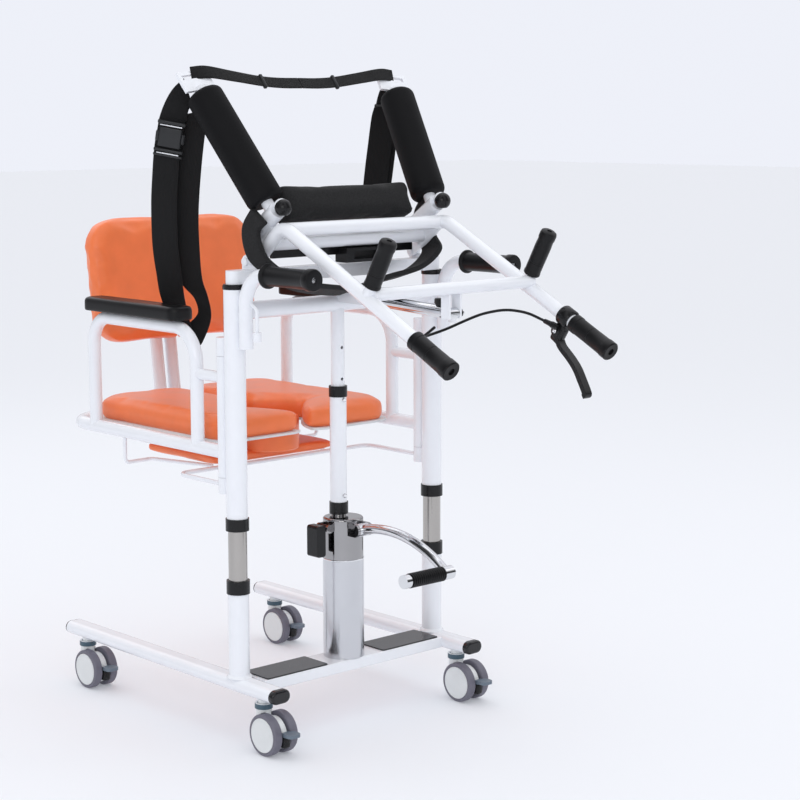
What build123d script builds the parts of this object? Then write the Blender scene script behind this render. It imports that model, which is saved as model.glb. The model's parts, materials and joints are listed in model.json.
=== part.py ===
from build123d import *
import math
import os

# Sit to stand lift with a seat that opens in two halves.  Millimetres.
# +Z is up and -Y is forward, the way the seated person faces; +X is that person's left.
# The origin is on the floor, midway between the two posts.

# ---- driving dimensions -------------------------------------------------------------------
HALF_TRACK = 235.7          # post and rail centre line to the middle of the lift
WALL = 2.0                  # wall of the larger steel tubes

WHEEL_D = 75.0              # castor wheels
CASTOR_FRONT_Y = -69.0
CASTOR_REAR_Y = 490.0
CASTOR_TRAIL = 27.0
RAIL_W, RAIL_H = 42.0, 25.0
RAIL_BOTTOM = 104.0
SET_DOWN = 10.0             # the frame is drawn this high above its real place on the castors
RAIL_FRONT_Y, RAIL_REAR_Y = -108.0, 534.0
CAP_DEPTH = 12.0            # domed plug on a rail's front end

POST_D, POST_BORE = 38.0, 34.0
GUIDE_D = 33.9
POST_COLLAR_D = 42.0
LOWER_POST_TOP = 282.0
UPPER_POST_BOTTOM, UPPER_POST_TOP = 418.0, 829.0
GUIDE_TOP = 700.0

BAR_W, BAR_H = 72.0, 21.0   # foot crossbar
BAR_Y = -13.0
PUMP_D = 76.0
PUMP_JOINT_Z, PUMP_TOP_Z = 312.0, 390.0
RAM_D = 20.0
COLUMN_D, COLUMN_TUBE_D = 31.0, 25.0

TUBE = 25.0                 # seat, handle and torso frame tubes
HINGE_Y = 33.0              # seat hinge pins, behind the posts
SEAT_Z = 532.0
SEAT_REAR_Y = 530.0
PIVOT_Y, PIVOT_Z = 8.0, 869.0      # torso frame tilt pivot
PIVOT_BOLT_D = 10.0
EAR_X = 196.0               # inner face of the pivot ears
ARM_TUBE = 24.4             # armrest loop
TORSO_X = 188.0             # side tubes of the torso frame
ARM_PITCH = 35.0            # underarm pivot axis, degrees above straight ahead
ARM_SPLAY = 9.0
ROLL_D, ROLL_L = 66.0, 232.0

# base, castors and pump
CASTOR_STEM_D = 11.0        # castor stem
BAR_TOP = RAIL_BOTTOM + RAIL_H - 2.0  # top face of the foot crossbar
AXLE_Z = WHEEL_D / 2
HOOD_W = 12.0               # castor hood between the wheels
WHEEL_IN, WHEEL_OUT = 9.0, 26.0  # inner and outer face of a wheel, from the castor's middle
PEDAL_PIN = (-CASTOR_TRAIL - 19, AXLE_Z + 4.5)  # brake pedal pin: Y and Z
PUMP_Y = -12.0
LEVER_PIN = (PUMP_Y - 52.0, 372.0)  # pump lever pin: Y and Z
RELEASE_PIN = (-PUMP_D / 2 - 7.0, 374.0)  # release pedal pin: X and Z
FOOT_BAR_Y, FOOT_BAR_Z = -288.0, 331.0

# column and upper frame
COLLAR_LOW_Z, SLEEVE_LOW_Z, SLEEVE_TOP_Z = 394.0, 416.0, 612.0
COLUMN_COLLAR_D = 35.0
COLUMN_TUBE_LOW_Z = 505.0
CROSSBAR_Z = 784.5
TOP_BAR_LOW_Z, TOP_BAR_TOP_Z = UPPER_POST_TOP + 3.5, 856.0
TOP_BAR_W = 29.0
BARREL_LOW = (458.0, 487.0) # seat hinge barrels: low and high end
BARREL_TOP = (704.0, 737.0)
HINGE_PIN_D = 12.0

# strut
STRUT_FRONT = (-300.0, 787.0)  # strut pins: Y and Z
STRUT_REAR = (-92.0, 797.0)
STRUT_PIN_D = 6.0
STRUT_EYE_BORE = 14.0       # the eye has room round its pin

# seat
SEAT_GAP = 3.0              # half the gap between the two halves
CUSHION_LOW, CUSHION_TOP = 536.0, 578.0
PLUG_Y, PLUG_R = 205.0, 58.0  # middle and radius of the keyhole plug
ARM_FRONT_Y, ARM_REAR_Y, ARM_Z = 113.0, 440.0, 744.0  # armrest loop
BACK_LEAN = 7.0             # degrees
BACK_X = 17.5               # backrest tube
COVER_LOW, COVER_TOP = 477.0, 491.0  # sliding cover

# torso support, its lever and cable
BEND = (-78.0, 935.0)       # bend of the side tubes: Y and Z
HANDLE_END = (-497.0, 722.0)  # their front ends
GRIP_START_Y = -411.0
UPPER_LATERAL, LOWER_LATERAL, FRONT_LATERAL = (-76.0, 927.0), (-34.0, 900.0), (-308.0, 831.0)  # cross tubes: Y and Z
UPRIGHT_BASE, UPRIGHT_LEAN = (-296.0, 824.0), 29.4
ARM_RING = (-41.0, 945.0)   # underarm pivots: Y and Z
STRUT_CYLINDER_L = 172.0
STRUT_LENGTH = math.dist(STRUT_FRONT, STRUT_REAR)
LEVER_PIVOT = (-372.0, 748.0)  # hand lever pin: Y and Z
CABLE_D = 5.0               # lock cable
CABLE_ROUTE = [(174, -352, 766), (168, -318, 778), (146, -286, 783), (112, -262, 776),
               (78, -250, 764), (44, -242, 752), (10, -236, 744), (-18, -244, 742), (-30, -268, 750), (-26, -286, 764)]

# underarm supports
ROLL_START = 24.0           # foam roll, up from its pivot
BRACKET_Z = ROLL_START + ROLL_L + 12
STRAP_W, STRAP_T = 46.0, 3.0
STRAP_TURN = 34.8           # the straps face forward and outward

RUN = 0.05                  # radial clearance of running fits
SIDES = {"right": -1, "left": 1}

os.makedirs("parts", exist_ok=True)


# ---- helpers --------------------------------------------------------------------------------
def save(name, shape):
    """Write one piece; all but the castors are set down by SET_DOWN onto them."""
    if not name.startswith("castor"):
        shape = Pos(0, 0, -SET_DOWN) * shape
    shape.label = name
    export_step(shape, f"parts/{name}.step")


def rod(start, end, diameter):
    """Solid round bar between two points."""
    axis = Vector(*end) - Vector(*start)
    return extrude(Plane(origin=start, z_dir=axis) * Circle(diameter / 2), amount=axis.length)


def ring(start, end, outer, inner):
    axis = Vector(*end) - Vector(*start)
    section = Circle(outer / 2) - Circle(inner / 2)
    return extrude(Plane(origin=start, z_dir=axis) * section, amount=axis.length)


def bent_tube(points, diameter, bends):
    """Round bar along straight runs joined by tangent arcs; bends is one radius or a list."""
    path = FilletPolyline(*points, radius=bends)
    return sweep(Plane(origin=path @ 0, z_dir=path % 0) * Circle(diameter / 2), path=path)


def block(low, high):
    size = [b - a for a, b in zip(low, high)]
    centre = [(a + b) / 2 for a, b in zip(low, high)]
    return Pos(*centre) * Box(*size)


def on_side(shape, sign):
    """Parts are drawn on the left, at +X; the right-hand one is the mirror image."""
    return shape if sign > 0 else mirror(shape, about=Plane.YZ)


def side_plate(outline, x_low, x_high):
    """Plate parallel to the YZ plane from a face drawn as (y, z)."""
    return extrude(Plane(origin=(x_low, 0, 0), x_dir=(0, 1, 0), z_dir=(1, 0, 0)) * outline,
                   amount=x_high - x_low)


# ---- base -----------------------------------------------------------------------------------
def rail_section(width, height, y):
    plane = Plane(origin=(HALF_TRACK, y, RAIL_BOTTOM + RAIL_H / 2), x_dir=(1, 0, 0), z_dir=(0, -1, 0))
    return plane * SlotOverall(width, height)


def rail_outer():
    return extrude(rail_section(RAIL_W, RAIL_H, RAIL_REAR_Y), amount=RAIL_REAR_Y - RAIL_FRONT_Y)


def base_side():
    rail = rail_outer()
    rail += rod((HALF_TRACK, 0, RAIL_BOTTOM + RAIL_H / 2), (HALF_TRACK, 0, LOWER_POST_TOP), POST_D)
    rail -= rod((HALF_TRACK, 0, RAIL_BOTTOM + RAIL_H), (HALF_TRACK, 0, LOWER_POST_TOP), POST_BORE)
    rail -= extrude(rail_section(RAIL_W - 2 * WALL, RAIL_H - 2 * WALL, RAIL_REAR_Y),
                    amount=RAIL_REAR_Y - RAIL_FRONT_Y)
    for y in (CASTOR_FRONT_Y, CASTOR_REAR_Y):
        rail -= rod((HALF_TRACK, y, RAIL_BOTTOM - 1), (HALF_TRACK, y, RAIL_BOTTOM + 2 * WALL),
                    CASTOR_STEM_D + 2 * RUN)
    return rail


def foot_crossbar():
    half = HALF_TRACK - RAIL_W / 2 + 1.5
    low_z = BAR_TOP - BAR_H
    bar = block((-half, BAR_Y - BAR_W / 2, low_z), (half, BAR_Y + BAR_W / 2, BAR_TOP))
    bar = fillet(bar.edges().filter_by(Axis.X), 3)
    bar -= block((-half, BAR_Y - BAR_W / 2 + WALL, low_z + WALL),
                 (half, BAR_Y + BAR_W / 2 - WALL, BAR_TOP - WALL))
    for sign in SIDES.values():
        bar -= on_side(rail_outer(), sign)
    return bar


def foot_pads():
    pads = []
    for sign in SIDES.values():
        pad = block((68, BAR_Y - 34, BAR_TOP), (208, BAR_Y + 34, BAR_TOP + 2.5))
        pads.append(on_side(fillet(pad.edges().filter_by(Axis.Z), 3), sign))
    return pads


def rail_end_plugs():
    plugs = []
    for sign in SIDES.values():
        front = extrude(rail_section(RAIL_W, RAIL_H, RAIL_FRONT_Y), amount=CAP_DEPTH)
        front = fillet(front.faces().sort_by(Axis.Y)[0].edges(), 5)
        rear = extrude(rail_section(RAIL_W - 1, RAIL_H - 1, RAIL_REAR_Y), amount=-3)
        plugs += [on_side(front, sign), on_side(rear, sign)]
    return plugs


def post_rings(z_low, z_high, outer, inner):
    return [ring((s * HALF_TRACK, 0, z_low), (s * HALF_TRACK, 0, z_high), outer, inner)
            for s in SIDES.values()]


for side, sign in SIDES.items():
    save(f"base_rail_{side}", on_side(base_side(), sign))
save("foot_crossbar", foot_crossbar())
save("foot_pads_and_plugs", Compound(foot_pads() + rail_end_plugs()))
save("lower_post_collars", Compound(post_rings(LOWER_POST_TOP, LOWER_POST_TOP + 24, POST_COLLAR_D, GUIDE_D)))
save("guide_tubes", Compound(post_rings(RAIL_BOTTOM + RAIL_H, GUIDE_TOP, GUIDE_D, GUIDE_D - 2 * WALL)))


# ---- castors --------------------------------------------------------------------------------


def castor_housing():
    """Swivel stem, collar, neck and the hood between the two wheels, with the axle."""
    top = RAIL_BOTTOM - SET_DOWN
    body = rod((0, 0, 80), (0, 0, top), 21) + rod((0, 0, 77), (0, 0, 87), 31)
    body += rod((0, 0, top - 8), (0, 0, top + 12), CASTOR_STEM_D)
    body += rod((0, 0, 58), (0, 0, 77), 29)
    hood = rod((-HOOD_W / 2, -CASTOR_TRAIL, AXLE_Z), (HOOD_W / 2, -CASTOR_TRAIL, AXLE_Z), 60)
    body += hood + block((-HOOD_W / 2, -CASTOR_TRAIL, AXLE_Z), (HOOD_W / 2, 10, 66))
    for sign in SIDES.values():
        body -= rod((sign * HOOD_W / 2, -CASTOR_TRAIL, AXLE_Z), (sign * 40, -CASTOR_TRAIL, AXLE_Z),
                    WHEEL_D + 2.4)
    body += rod((-WHEEL_OUT + 2, -CASTOR_TRAIL, AXLE_Z), (WHEEL_OUT - 2, -CASTOR_TRAIL, AXLE_Z), 8)
    body -= rod((-HOOD_W, *PEDAL_PIN), (HOOD_W, *PEDAL_PIN), 4 + 2 * RUN)
    return body


def castor_wheels():
    """The two wheels of one castor: tyres with a shallow dished disc on the outer face."""
    wheels = []
    for sign in SIDES.values():
        inner, outer = (sign * WHEEL_IN, -CASTOR_TRAIL, AXLE_Z), (sign * WHEEL_OUT, -CASTOR_TRAIL, AXLE_Z)
        wheel = fillet(rod(inner, outer, WHEEL_D).edges(), 3)
        wheel -= rod((sign * (WHEEL_OUT - 1), -CASTOR_TRAIL, AXLE_Z), outer, WHEEL_D - 12)
        wheel -= rod(inner, (sign * (WHEEL_OUT - 1.5), -CASTOR_TRAIL, AXLE_Z), 8 + 2 * RUN)
        wheels.append(wheel)
    return Compound(wheels)


def castor_pedal():
    """Brake pedal: two cheeks on a cross pin through the hood, and the toe plate in front."""
    pin_y, pin_z = PEDAL_PIN
    pedal = rod((-8.2, pin_y, pin_z), (8.2, pin_y, pin_z), 4)
    for sign in SIDES.values():
        inner = sign * (HOOD_W / 2 + 0.4)
        pedal += rod((inner, pin_y, pin_z), (sign * 8.2, pin_y, pin_z), 12)
        pedal += block((min(inner, sign * 8.2), pin_y - 16, pin_z - 3),
                       (max(inner, sign * 8.2), pin_y, pin_z + 4))
    pedal += block((-8.2, pin_y - 22, pin_z - 3), (8.2, pin_y - 13, pin_z + 4))
    toe = block((-13, pin_y - 44, pin_z), (13, pin_y - 21, pin_z + 6))
    return pedal + fillet(toe.edges().filter_by(Axis.Z), 8)


for side, sign in SIDES.items():
    for end, y in (("front", CASTOR_FRONT_Y), ("rear", CASTOR_REAR_Y)):
        place = Pos(sign * HALF_TRACK, y, 0)
        save(f"castor_housing_{end}_{side}", place * castor_housing())
        save(f"castor_wheels_{end}_{side}", place * castor_wheels())
        save(f"castor_pedal_{end}_{side}", place * castor_pedal())


# ---- hydraulic pump -------------------------------------------------------------------------


def pump_cylinder():
    body = rod((0, PUMP_Y, BAR_TOP), (0, PUMP_Y, PUMP_JOINT_Z), PUMP_D)
    return body - rod((0, PUMP_Y, BAR_TOP + 8), (0, PUMP_Y, PUMP_JOINT_Z), PUMP_D - 14)


def pump_head():
    head = rod((0, PUMP_Y, PUMP_JOINT_Z), (0, PUMP_Y, PUMP_TOP_Z), PUMP_D - 1)
    head = fillet(head.faces().sort_by(Axis.Z)[-1].edges(), 4)
    head += rod((0, 0, PUMP_TOP_Z - 5), (0, 0, PUMP_TOP_Z + 3.5), 27)
    for sign in SIDES.values():
        lug = block((12.3, PUMP_Y - 52, 360), (18, PUMP_Y - 20, 384))
        lug += rod((12.3, *LEVER_PIN), (18, *LEVER_PIN), 24)
        head += on_side(lug, sign)
        ear = block((-PUMP_D / 2 - 7, 11.3, 368), (-PUMP_D / 2 + 12, 16, 382))
        ear += rod((RELEASE_PIN[0], 11.3, RELEASE_PIN[1]), (RELEASE_PIN[0], 16, RELEASE_PIN[1]), 16)
        head += Pos(0, PUMP_Y, 0) * (ear if sign > 0 else mirror(ear, about=Plane.XZ))
    head += rod((-18, *LEVER_PIN), (18, *LEVER_PIN), 9)
    head += rod((RELEASE_PIN[0], PUMP_Y - 16, RELEASE_PIN[1]),
                (RELEASE_PIN[0], PUMP_Y + 16, RELEASE_PIN[1]), 6)
    return head - rod((0, 0, PUMP_JOINT_Z - 1), (0, 0, PUMP_TOP_Z + 5), RAM_D + 2 * RUN)


def pump_lever():
    """Curved chrome lever from the hub at the pump head out to the foot bar."""
    y, z = LEVER_PIN
    hub = ring((-12, y, z), (12, y, z), 24, 9 + 2 * RUN)
    arc = ThreePointArc((0, y - 9, z + 2), (0, y - 108, z + 7), (0, FOOT_BAR_Y, FOOT_BAR_Z))
    arm = sweep(Plane(origin=arc @ 0, z_dir=arc % 0) * Circle(9), path=arc)
    end = rod((-10, FOOT_BAR_Y, FOOT_BAR_Z), (12, FOOT_BAR_Y, FOOT_BAR_Z), 24)
    spindle = rod((-92, FOOT_BAR_Y, FOOT_BAR_Z), (0, FOOT_BAR_Y, FOOT_BAR_Z), 14)
    cap = rod((-102, FOOT_BAR_Y, FOOT_BAR_Z), (-90, FOOT_BAR_Y, FOOT_BAR_Z), 24)
    arm -= rod((-12, y, z), (12, y, z), 20)
    return hub + arm + end + spindle + cap


def release_pedal():
    x, z = RELEASE_PIN
    hub = ring((x, -11, z), (x, 11, z), 14, 6 + 2 * RUN)
    plate = block((x - 30, -14, z - 50), (x - 9, 14, z + 8))
    plate = fillet(plate.edges().filter_by(Axis.Y), 5)
    return Pos(0, PUMP_Y, 0) * (plate + hub + block((x - 12, -10, z - 5), (x - 4, 10, z + 5)))


save("pump_cylinder", pump_cylinder())
save("pump_head", pump_head())
save("pump_lever", pump_lever())
save("pump_foot_bar", ring((-90, FOOT_BAR_Y, FOOT_BAR_Z), (-10, FOOT_BAR_Y, FOOT_BAR_Z), 26, 14))
save("release_pedal", release_pedal())

# ---- ram and telescopic column --------------------------------------------------------------


def column_tube():
    tube = ring((0, 0, COLUMN_TUBE_LOW_Z), (0, 0, CROSSBAR_Z), COLUMN_TUBE_D, COLUMN_TUBE_D - 2 * WALL)
    for z in (645.0, 703.0):
        tube -= rod((0, -20, z), (0, 0, z), 6)
    return tube - rod((-20, 0, CROSSBAR_Z), (20, 0, CROSSBAR_Z), COLUMN_D)


def column_collars():
    low = ring((0, 0, COLLAR_LOW_Z), (0, 0, SLEEVE_LOW_Z), COLUMN_COLLAR_D, RAM_D)
    top = ring((0, 0, SLEEVE_TOP_Z), (0, 0, SLEEVE_TOP_Z + 20), COLUMN_COLLAR_D - 1, COLUMN_TUBE_D + 2 * RUN)
    return Compound([low, top])


def column_sleeve():
    sleeve = ring((0, 0, SLEEVE_LOW_Z), (0, 0, SLEEVE_TOP_Z), COLUMN_D, COLUMN_TUBE_D + 2 * RUN)
    for z in (SLEEVE_LOW_Z + 13, SLEEVE_TOP_Z - 5):
        sleeve += rod((0, -COLUMN_D / 2 - 3, z), (0, -COLUMN_TUBE_D / 2 - 1, z), 7)
    return sleeve


save("ram_rod", rod((0, 0, 160), (0, 0, SLEEVE_LOW_Z + 20), RAM_D))
save("column_collars", column_collars())
save("column_sleeve", column_sleeve())
save("column_tube", column_tube())


# ---- upper frame ----------------------------------------------------------------------------


def crossbar():
    half = HALF_TRACK
    tube = ring((-half, 0, CROSSBAR_Z), (half, 0, CROSSBAR_Z), COLUMN_D, COLUMN_D - 2 * WALL)
    for sign in SIDES.values():
        tube -= rod((sign * HALF_TRACK, 0, 700), (sign * HALF_TRACK, 0, 860), POST_D)
    for sign in SIDES.values():
        tube += on_side(block((6, -104, CROSSBAR_Z + 2), (10, -10, CROSSBAR_Z + 21)), sign)
    return tube + rod((-10, *STRUT_REAR), (10, *STRUT_REAR), STRUT_PIN_D)


def top_bar():
    """Flat bar across the post tops, with an ear and a bolt each side for the tilt pivot."""
    plan = Pos(0, 0, TOP_BAR_LOW_Z) * SlotOverall(2 * HALF_TRACK + TOP_BAR_W, TOP_BAR_W)
    bar = extrude(plan, amount=TOP_BAR_TOP_Z - TOP_BAR_LOW_Z)
    front = -TOP_BAR_W / 2
    for sign in SIDES.values():
        ear = block((EAR_X, PIVOT_Y - 12, TOP_BAR_TOP_Z - 2), (EAR_X + 6, PIVOT_Y + 12, PIVOT_Z))
        ear += rod((EAR_X, PIVOT_Y, PIVOT_Z), (EAR_X + 6, PIVOT_Y, PIVOT_Z), 24)
        ear += block((EAR_X, front - 4, TOP_BAR_LOW_Z), (EAR_X + 6, front + 1, PIVOT_Z - 5))
        ear += block((EAR_X, front - 4, TOP_BAR_TOP_Z - 2), (EAR_X + 6, PIVOT_Y, PIVOT_Z - 5))
        ear += rod((EAR_X - 10, PIVOT_Y, PIVOT_Z), (EAR_X + 7, PIVOT_Y, PIVOT_Z), PIVOT_BOLT_D)
        ear += rod((EAR_X + 6, PIVOT_Y, PIVOT_Z), (EAR_X + 11, PIVOT_Y, PIVOT_Z), 15)
        bar += on_side(ear, sign)
    return bar


def hinge_barrels():
    """Fixed barrels, pins and weld blocks of both seat hinges, and the rod under the cover."""
    pieces = None
    for sign in SIDES.values():
        x = HALF_TRACK
        one = rod((x, HINGE_Y, BARREL_LOW[0]), (x, HINGE_Y, BARREL_TOP[1]), HINGE_PIN_D)
        for low, high in (BARREL_LOW, BARREL_TOP):
            one += rod((x, HINGE_Y, low), (x, HINGE_Y, high), TUBE)
            one += block((x - 7, POST_D / 2 - 1.5, low), (x + 7, HINGE_Y - 8, high))
        one -= rod((x, 0, BARREL_LOW[0] - 1), (x, 0, BARREL_TOP[1] + 1), POST_D)
        one = on_side(one, sign)
        pieces = one if pieces is None else pieces + one
    corner = HALF_TRACK - 4
    y, z = 182.0, 472.0
    loop = bent_tube([(-corner, HINGE_Y + 8, z), (-corner, y, z), (corner, y, z), (corner, HINGE_Y + 8, z)],
                     8, 22)
    return pieces + loop


def push_handle():
    handle = bent_tube([(HALF_TRACK, -33, 722), (HALF_TRACK, -33, 852), (HALF_TRACK, -215, 852)], TUBE, 55)
    for z in (733.0, 778.0):
        handle += block((HALF_TRACK - 5, -24, z - 6), (HALF_TRACK + 5, -15, z + 6))
    x = HALF_TRACK - 3
    handle += bent_tube([(x, -40, 802), (x, -60, 792), (x, -60, 740)], 7, 8)
    handle += rod((x, -60, 736), (x, -60, 752), 15)
    return handle - rod((HALF_TRACK, 0, 700), (HALF_TRACK, 0, 830), POST_D)


def grip(start, end, core, outer, flange):
    """Rubber grip: flange at the start, sleeve, and a closed end."""
    axis = (Vector(*end) - Vector(*start)).normalized()
    base, tip = Vector(*start), Vector(*end)
    body = rod(start, end, outer)
    if flange:
        body += rod(start, base + axis * 6, flange)
        body += rod(tip - axis * 12, end, outer + 3)
    return body - rod(base, tip - axis * 4, core)


def push_grips():
    grips = [grip((s * HALF_TRACK, -94, 852), (s * HALF_TRACK, -219, 852), TUBE, 34, 44)
             for s in SIDES.values()]
    return Compound(grips)


save("upper_posts", Compound(post_rings(UPPER_POST_BOTTOM, UPPER_POST_TOP, POST_D, POST_BORE)))
save("push_handles", Compound([on_side(push_handle(), sign) for sign in SIDES.values()]))
save("upper_post_collars", Compound(
    post_rings(UPPER_POST_BOTTOM - 22, UPPER_POST_BOTTOM, POST_COLLAR_D, POST_BORE)
    + post_rings(UPPER_POST_TOP, TOP_BAR_LOW_Z, POST_D, 10)))
save("crossbar", crossbar())
save("top_bar", top_bar())
save("hinge_barrels", hinge_barrels())
save("push_grips", push_grips())


# ---- seat, in two halves --------------------------------------------------------------------


def seat_frame():
    x = HALF_TRACK
    rail = bent_tube([(x, HINGE_Y, SEAT_Z), (x, SEAT_REAR_Y, SEAT_Z), (BACK_X, SEAT_REAR_Y, SEAT_Z),
                      (BACK_X, SEAT_REAR_Y + 46, 900)], TUBE, [58, 42])
    loop = bent_tube([(x, ARM_FRONT_Y, SEAT_Z), (x, ARM_FRONT_Y, ARM_Z), (x, ARM_REAR_Y, ARM_Z),
                      (x, ARM_REAR_Y, SEAT_Z)], ARM_TUBE, [62, 50])
    sleeve = ring((x, HINGE_Y, BARREL_LOW[1] + 0.5), (x, HINGE_Y, BARREL_TOP[0] - 0.5), TUBE,
                  HINGE_PIN_D + 2 * RUN)
    bore = rod((x, HINGE_Y, 400), (x, HINGE_Y, 800), TUBE - 1)
    hook = bent_tube([(x, 345, SEAT_Z - 4), (x, 345, 472), (x - 60, 345, 472), (x - 100, 205, 472)], 7, [9, 14])
    frame = loop + (rail - bore) + hook
    frame += rod((x, HINGE_Y, 665), (x, ARM_FRONT_Y, 665), TUBE - 5) - bore
    return frame + sleeve


def cushion_outline():
    """Plan of the left half: a pad with a rounded front lobe and half of the keyhole cut out."""
    swing = Vector(HALF_TRACK, HINGE_Y)
    plan = Pos((SEAT_GAP + 212) / 2, 290) * RectangleRounded(212 - SEAT_GAP, 420, 40)
    plan += Pos(SEAT_GAP + 10, 440) * Rectangle(20, 100)
    plan -= Pos(SEAT_GAP - 50, 300) * Rectangle(100, 600)
    hole = Pos(0, PLUG_Y) * Circle(PLUG_R + 4)
    lane_outer = math.hypot(HALF_TRACK, PLUG_Y - HINGE_Y) + PLUG_R + 4
    lane_inner = math.hypot(HALF_TRACK, PLUG_Y - HINGE_Y) - PLUG_R - 4
    lane = Pos(swing.X, swing.Y) * (Circle(lane_outer) - Circle(lane_inner))
    lane = lane & (Pos(0, PLUG_Y - 150) * Rectangle(160, 300))
    return plan - hole - lane


def seat_cushion():
    return extrude(Pos(0, 0, CUSHION_LOW) * cushion_outline(), amount=CUSHION_TOP - CUSHION_LOW)


def back_pad():
    """Backrest half, leaning back with its tubes."""
    outline = Pos(98, 0) * RectangleRounded(196, 248, 56)
    outline += Pos(SEAT_GAP + 28, 0) * Rectangle(56, 248)
    outline -= Pos(SEAT_GAP - 50, 0) * Rectangle(100, 400)
    plane = Plane(origin=(0, 532, 797), x_dir=(1, 0, 0),
                  z_dir=(0, -math.cos(math.radians(BACK_LEAN)), math.sin(math.radians(BACK_LEAN))))
    return extrude(plane * outline, amount=42)


def arm_pad():
    pad = block((HALF_TRACK - 26, 147, ARM_Z + TUBE / 2 + 0.0), (HALF_TRACK + 26, 444, ARM_Z + TUBE / 2 + 26))
    pad = fillet(pad.edges().filter_by(Axis.Z), 18)
    return fillet(pad.faces().sort_by(Axis.Z)[-1].edges(), 8)


for side, sign in SIDES.items():
    save(f"seat_frame_{side}", on_side(seat_frame(), sign))
    save(f"seat_cushion_{side}", on_side(seat_cushion(), sign))
    save(f"backrest_{side}", on_side(back_pad(), sign))
    save(f"arm_pad_{side}", on_side(arm_pad(), sign))

cover = block((-146, 180, COVER_LOW), (146, 412, COVER_TOP))
save("commode_cover", fillet(cover.edges().filter_by(Axis.Z), 16))
save("seat_plug", extrude(Pos(0, PLUG_Y, COVER_TOP) * Circle(PLUG_R), amount=562 - COVER_TOP))


# ---- torso frame ----------------------------------------------------------------------------


def handle_point(y):
    """Height of the long side tube of the torso frame at a given y."""
    slope = (HANDLE_END[1] - BEND[1]) / (HANDLE_END[0] - BEND[0])
    return (TORSO_X, y, BEND[1] + slope * (y - BEND[0]))


def along_arm_axis(distance):
    """Point on the underarm pivot axis, measured forward from the ring where the socket turns."""
    pitch = math.radians(ARM_PITCH)
    return (TORSO_X, ARM_RING[0] - distance * math.cos(pitch), ARM_RING[1] + distance * math.sin(pitch))


def up_the_grip(distance):
    lean = math.radians(UPRIGHT_LEAN)
    y, z = UPRIGHT_BASE
    return (TORSO_X, y - distance * math.sin(lean), z + distance * math.cos(lean))


def torso_side():
    side = bent_tube([(TORSO_X, -22, 885), (TORSO_X, *BEND), handle_point(HANDLE_END[0] + 6)], TUBE, 38)
    side += rod(along_arm_axis(-40), along_arm_axis(0), 31)
    side += rod(along_arm_axis(-10), along_arm_axis(24), 16)
    side += side_plate(make_face(Polyline((-16, 884), (-58, 915), (-45, 936), (-14, 914), close=True)), 185, 191)
    side += rod(up_the_grip(0), up_the_grip(104), 22)
    hull = make_hull((Pos(PIVOT_Y, PIVOT_Z) * Circle(10.5)).edges() + (Pos(-24, 890) * Circle(9)).edges())
    side += side_plate(hull, TORSO_X + 1, TORSO_X + 7)
    side -= rod((TORSO_X - 20, PIVOT_Y, PIVOT_Z), (TORSO_X + 7, PIVOT_Y, PIVOT_Z), PIVOT_BOLT_D + 2 * RUN)
    return side


def torso_frame():
    frame = torso_side() + on_side(torso_side(), -1)
    for (y, z), diameter in ((UPPER_LATERAL, TUBE), (LOWER_LATERAL, 22), (FRONT_LATERAL, 22)):
        frame += rod((-TORSO_X, y, z), (TORSO_X, y, z), diameter)
    for sign in SIDES.values():
        frame += on_side(block((11, STRUT_FRONT[0] - 10, STRUT_FRONT[1] - 9), (15, STRUT_FRONT[0] + 10, 828)), sign)
    return frame + rod((-15, *STRUT_FRONT), (15, *STRUT_FRONT), STRUT_PIN_D)


def torso_grips():
    grips = []
    for sign in SIDES.values():
        upright = grip(up_the_grip(24), up_the_grip(112), 22, 31, 0)
        front = grip(handle_point(GRIP_START_Y), handle_point(HANDLE_END[0]), TUBE, 34, 0)
        grips += [on_side(upright, sign), on_side(front, sign)]
    return Compound(grips)


def chest_pad():
    """Cushion above the upper cross tube, its top leaning back."""
    lean = math.radians(24)
    plane = Plane(origin=(0, -51, 938), x_dir=(1, 0, 0), z_dir=(0, math.cos(lean), -math.sin(lean)))
    outline = plane * (Pos(0, -36) * RectangleRounded(300, 66, 10))
    return extrude(outline, amount=40)


def chest_board():
    board = block((-166, -21, 874), (166, -13, 916))
    board += block((-16, -46, 860), (90, -14, 886))
    board -= block((2, -50, 866), (84, -24, 880))
    return board - rod((-180, *LOWER_LATERAL), (180, *LOWER_LATERAL), 22.6)


def support_band():
    """Padded sling band that hangs below the torso frame from side to side."""
    plane = Plane(origin=(0, -20, 0), x_dir=(1, 0, 0), z_dir=(0, -1, 0))
    half = extrude(plane * make_face(Polyline(
        (217, 925), (217, 872), (184, 846), (113, 826), (0, 818),
        (0, 826), (111, 834), (180, 854), (209, 876), (209, 925), close=True)), amount=46)
    return half + on_side(half, -1)


save("torso_frame", torso_frame())
save("torso_grips", torso_grips())
save("chest_pad", chest_pad())
save("chest_board", chest_board())
save("support_band", support_band())


# ---- tilt strut, its hand lever and cable ---------------------------------------------------
def along_strut(distance):
    """Point on the strut, measured back from its front pin."""
    axis = (Vector(*STRUT_REAR) - Vector(*STRUT_FRONT)).normalized()
    return (0, STRUT_FRONT[0] + axis.X * distance, STRUT_FRONT[1] + axis.Y * distance)


def strut_cylinder():
    body = rod(along_strut(10), along_strut(STRUT_CYLINDER_L), 22)
    body += rod((-10.6, *STRUT_FRONT), (10.6, *STRUT_FRONT), 20)
    body -= rod(along_strut(20), along_strut(STRUT_CYLINDER_L), 10 + 2 * RUN)
    return body - rod((-12, *STRUT_FRONT), (12, *STRUT_FRONT), STRUT_PIN_D + 2 * RUN)


def strut_rod():
    """Piston rod; its rear eye is large on the crossbar pin."""
    body = rod(along_strut(60), along_strut(STRUT_LENGTH - 9), 10)
    body += rod((-5.4, *STRUT_REAR), (5.4, *STRUT_REAR), 22)
    return body - rod((-8, *STRUT_REAR), (8, *STRUT_REAR), STRUT_EYE_BORE)


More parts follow.
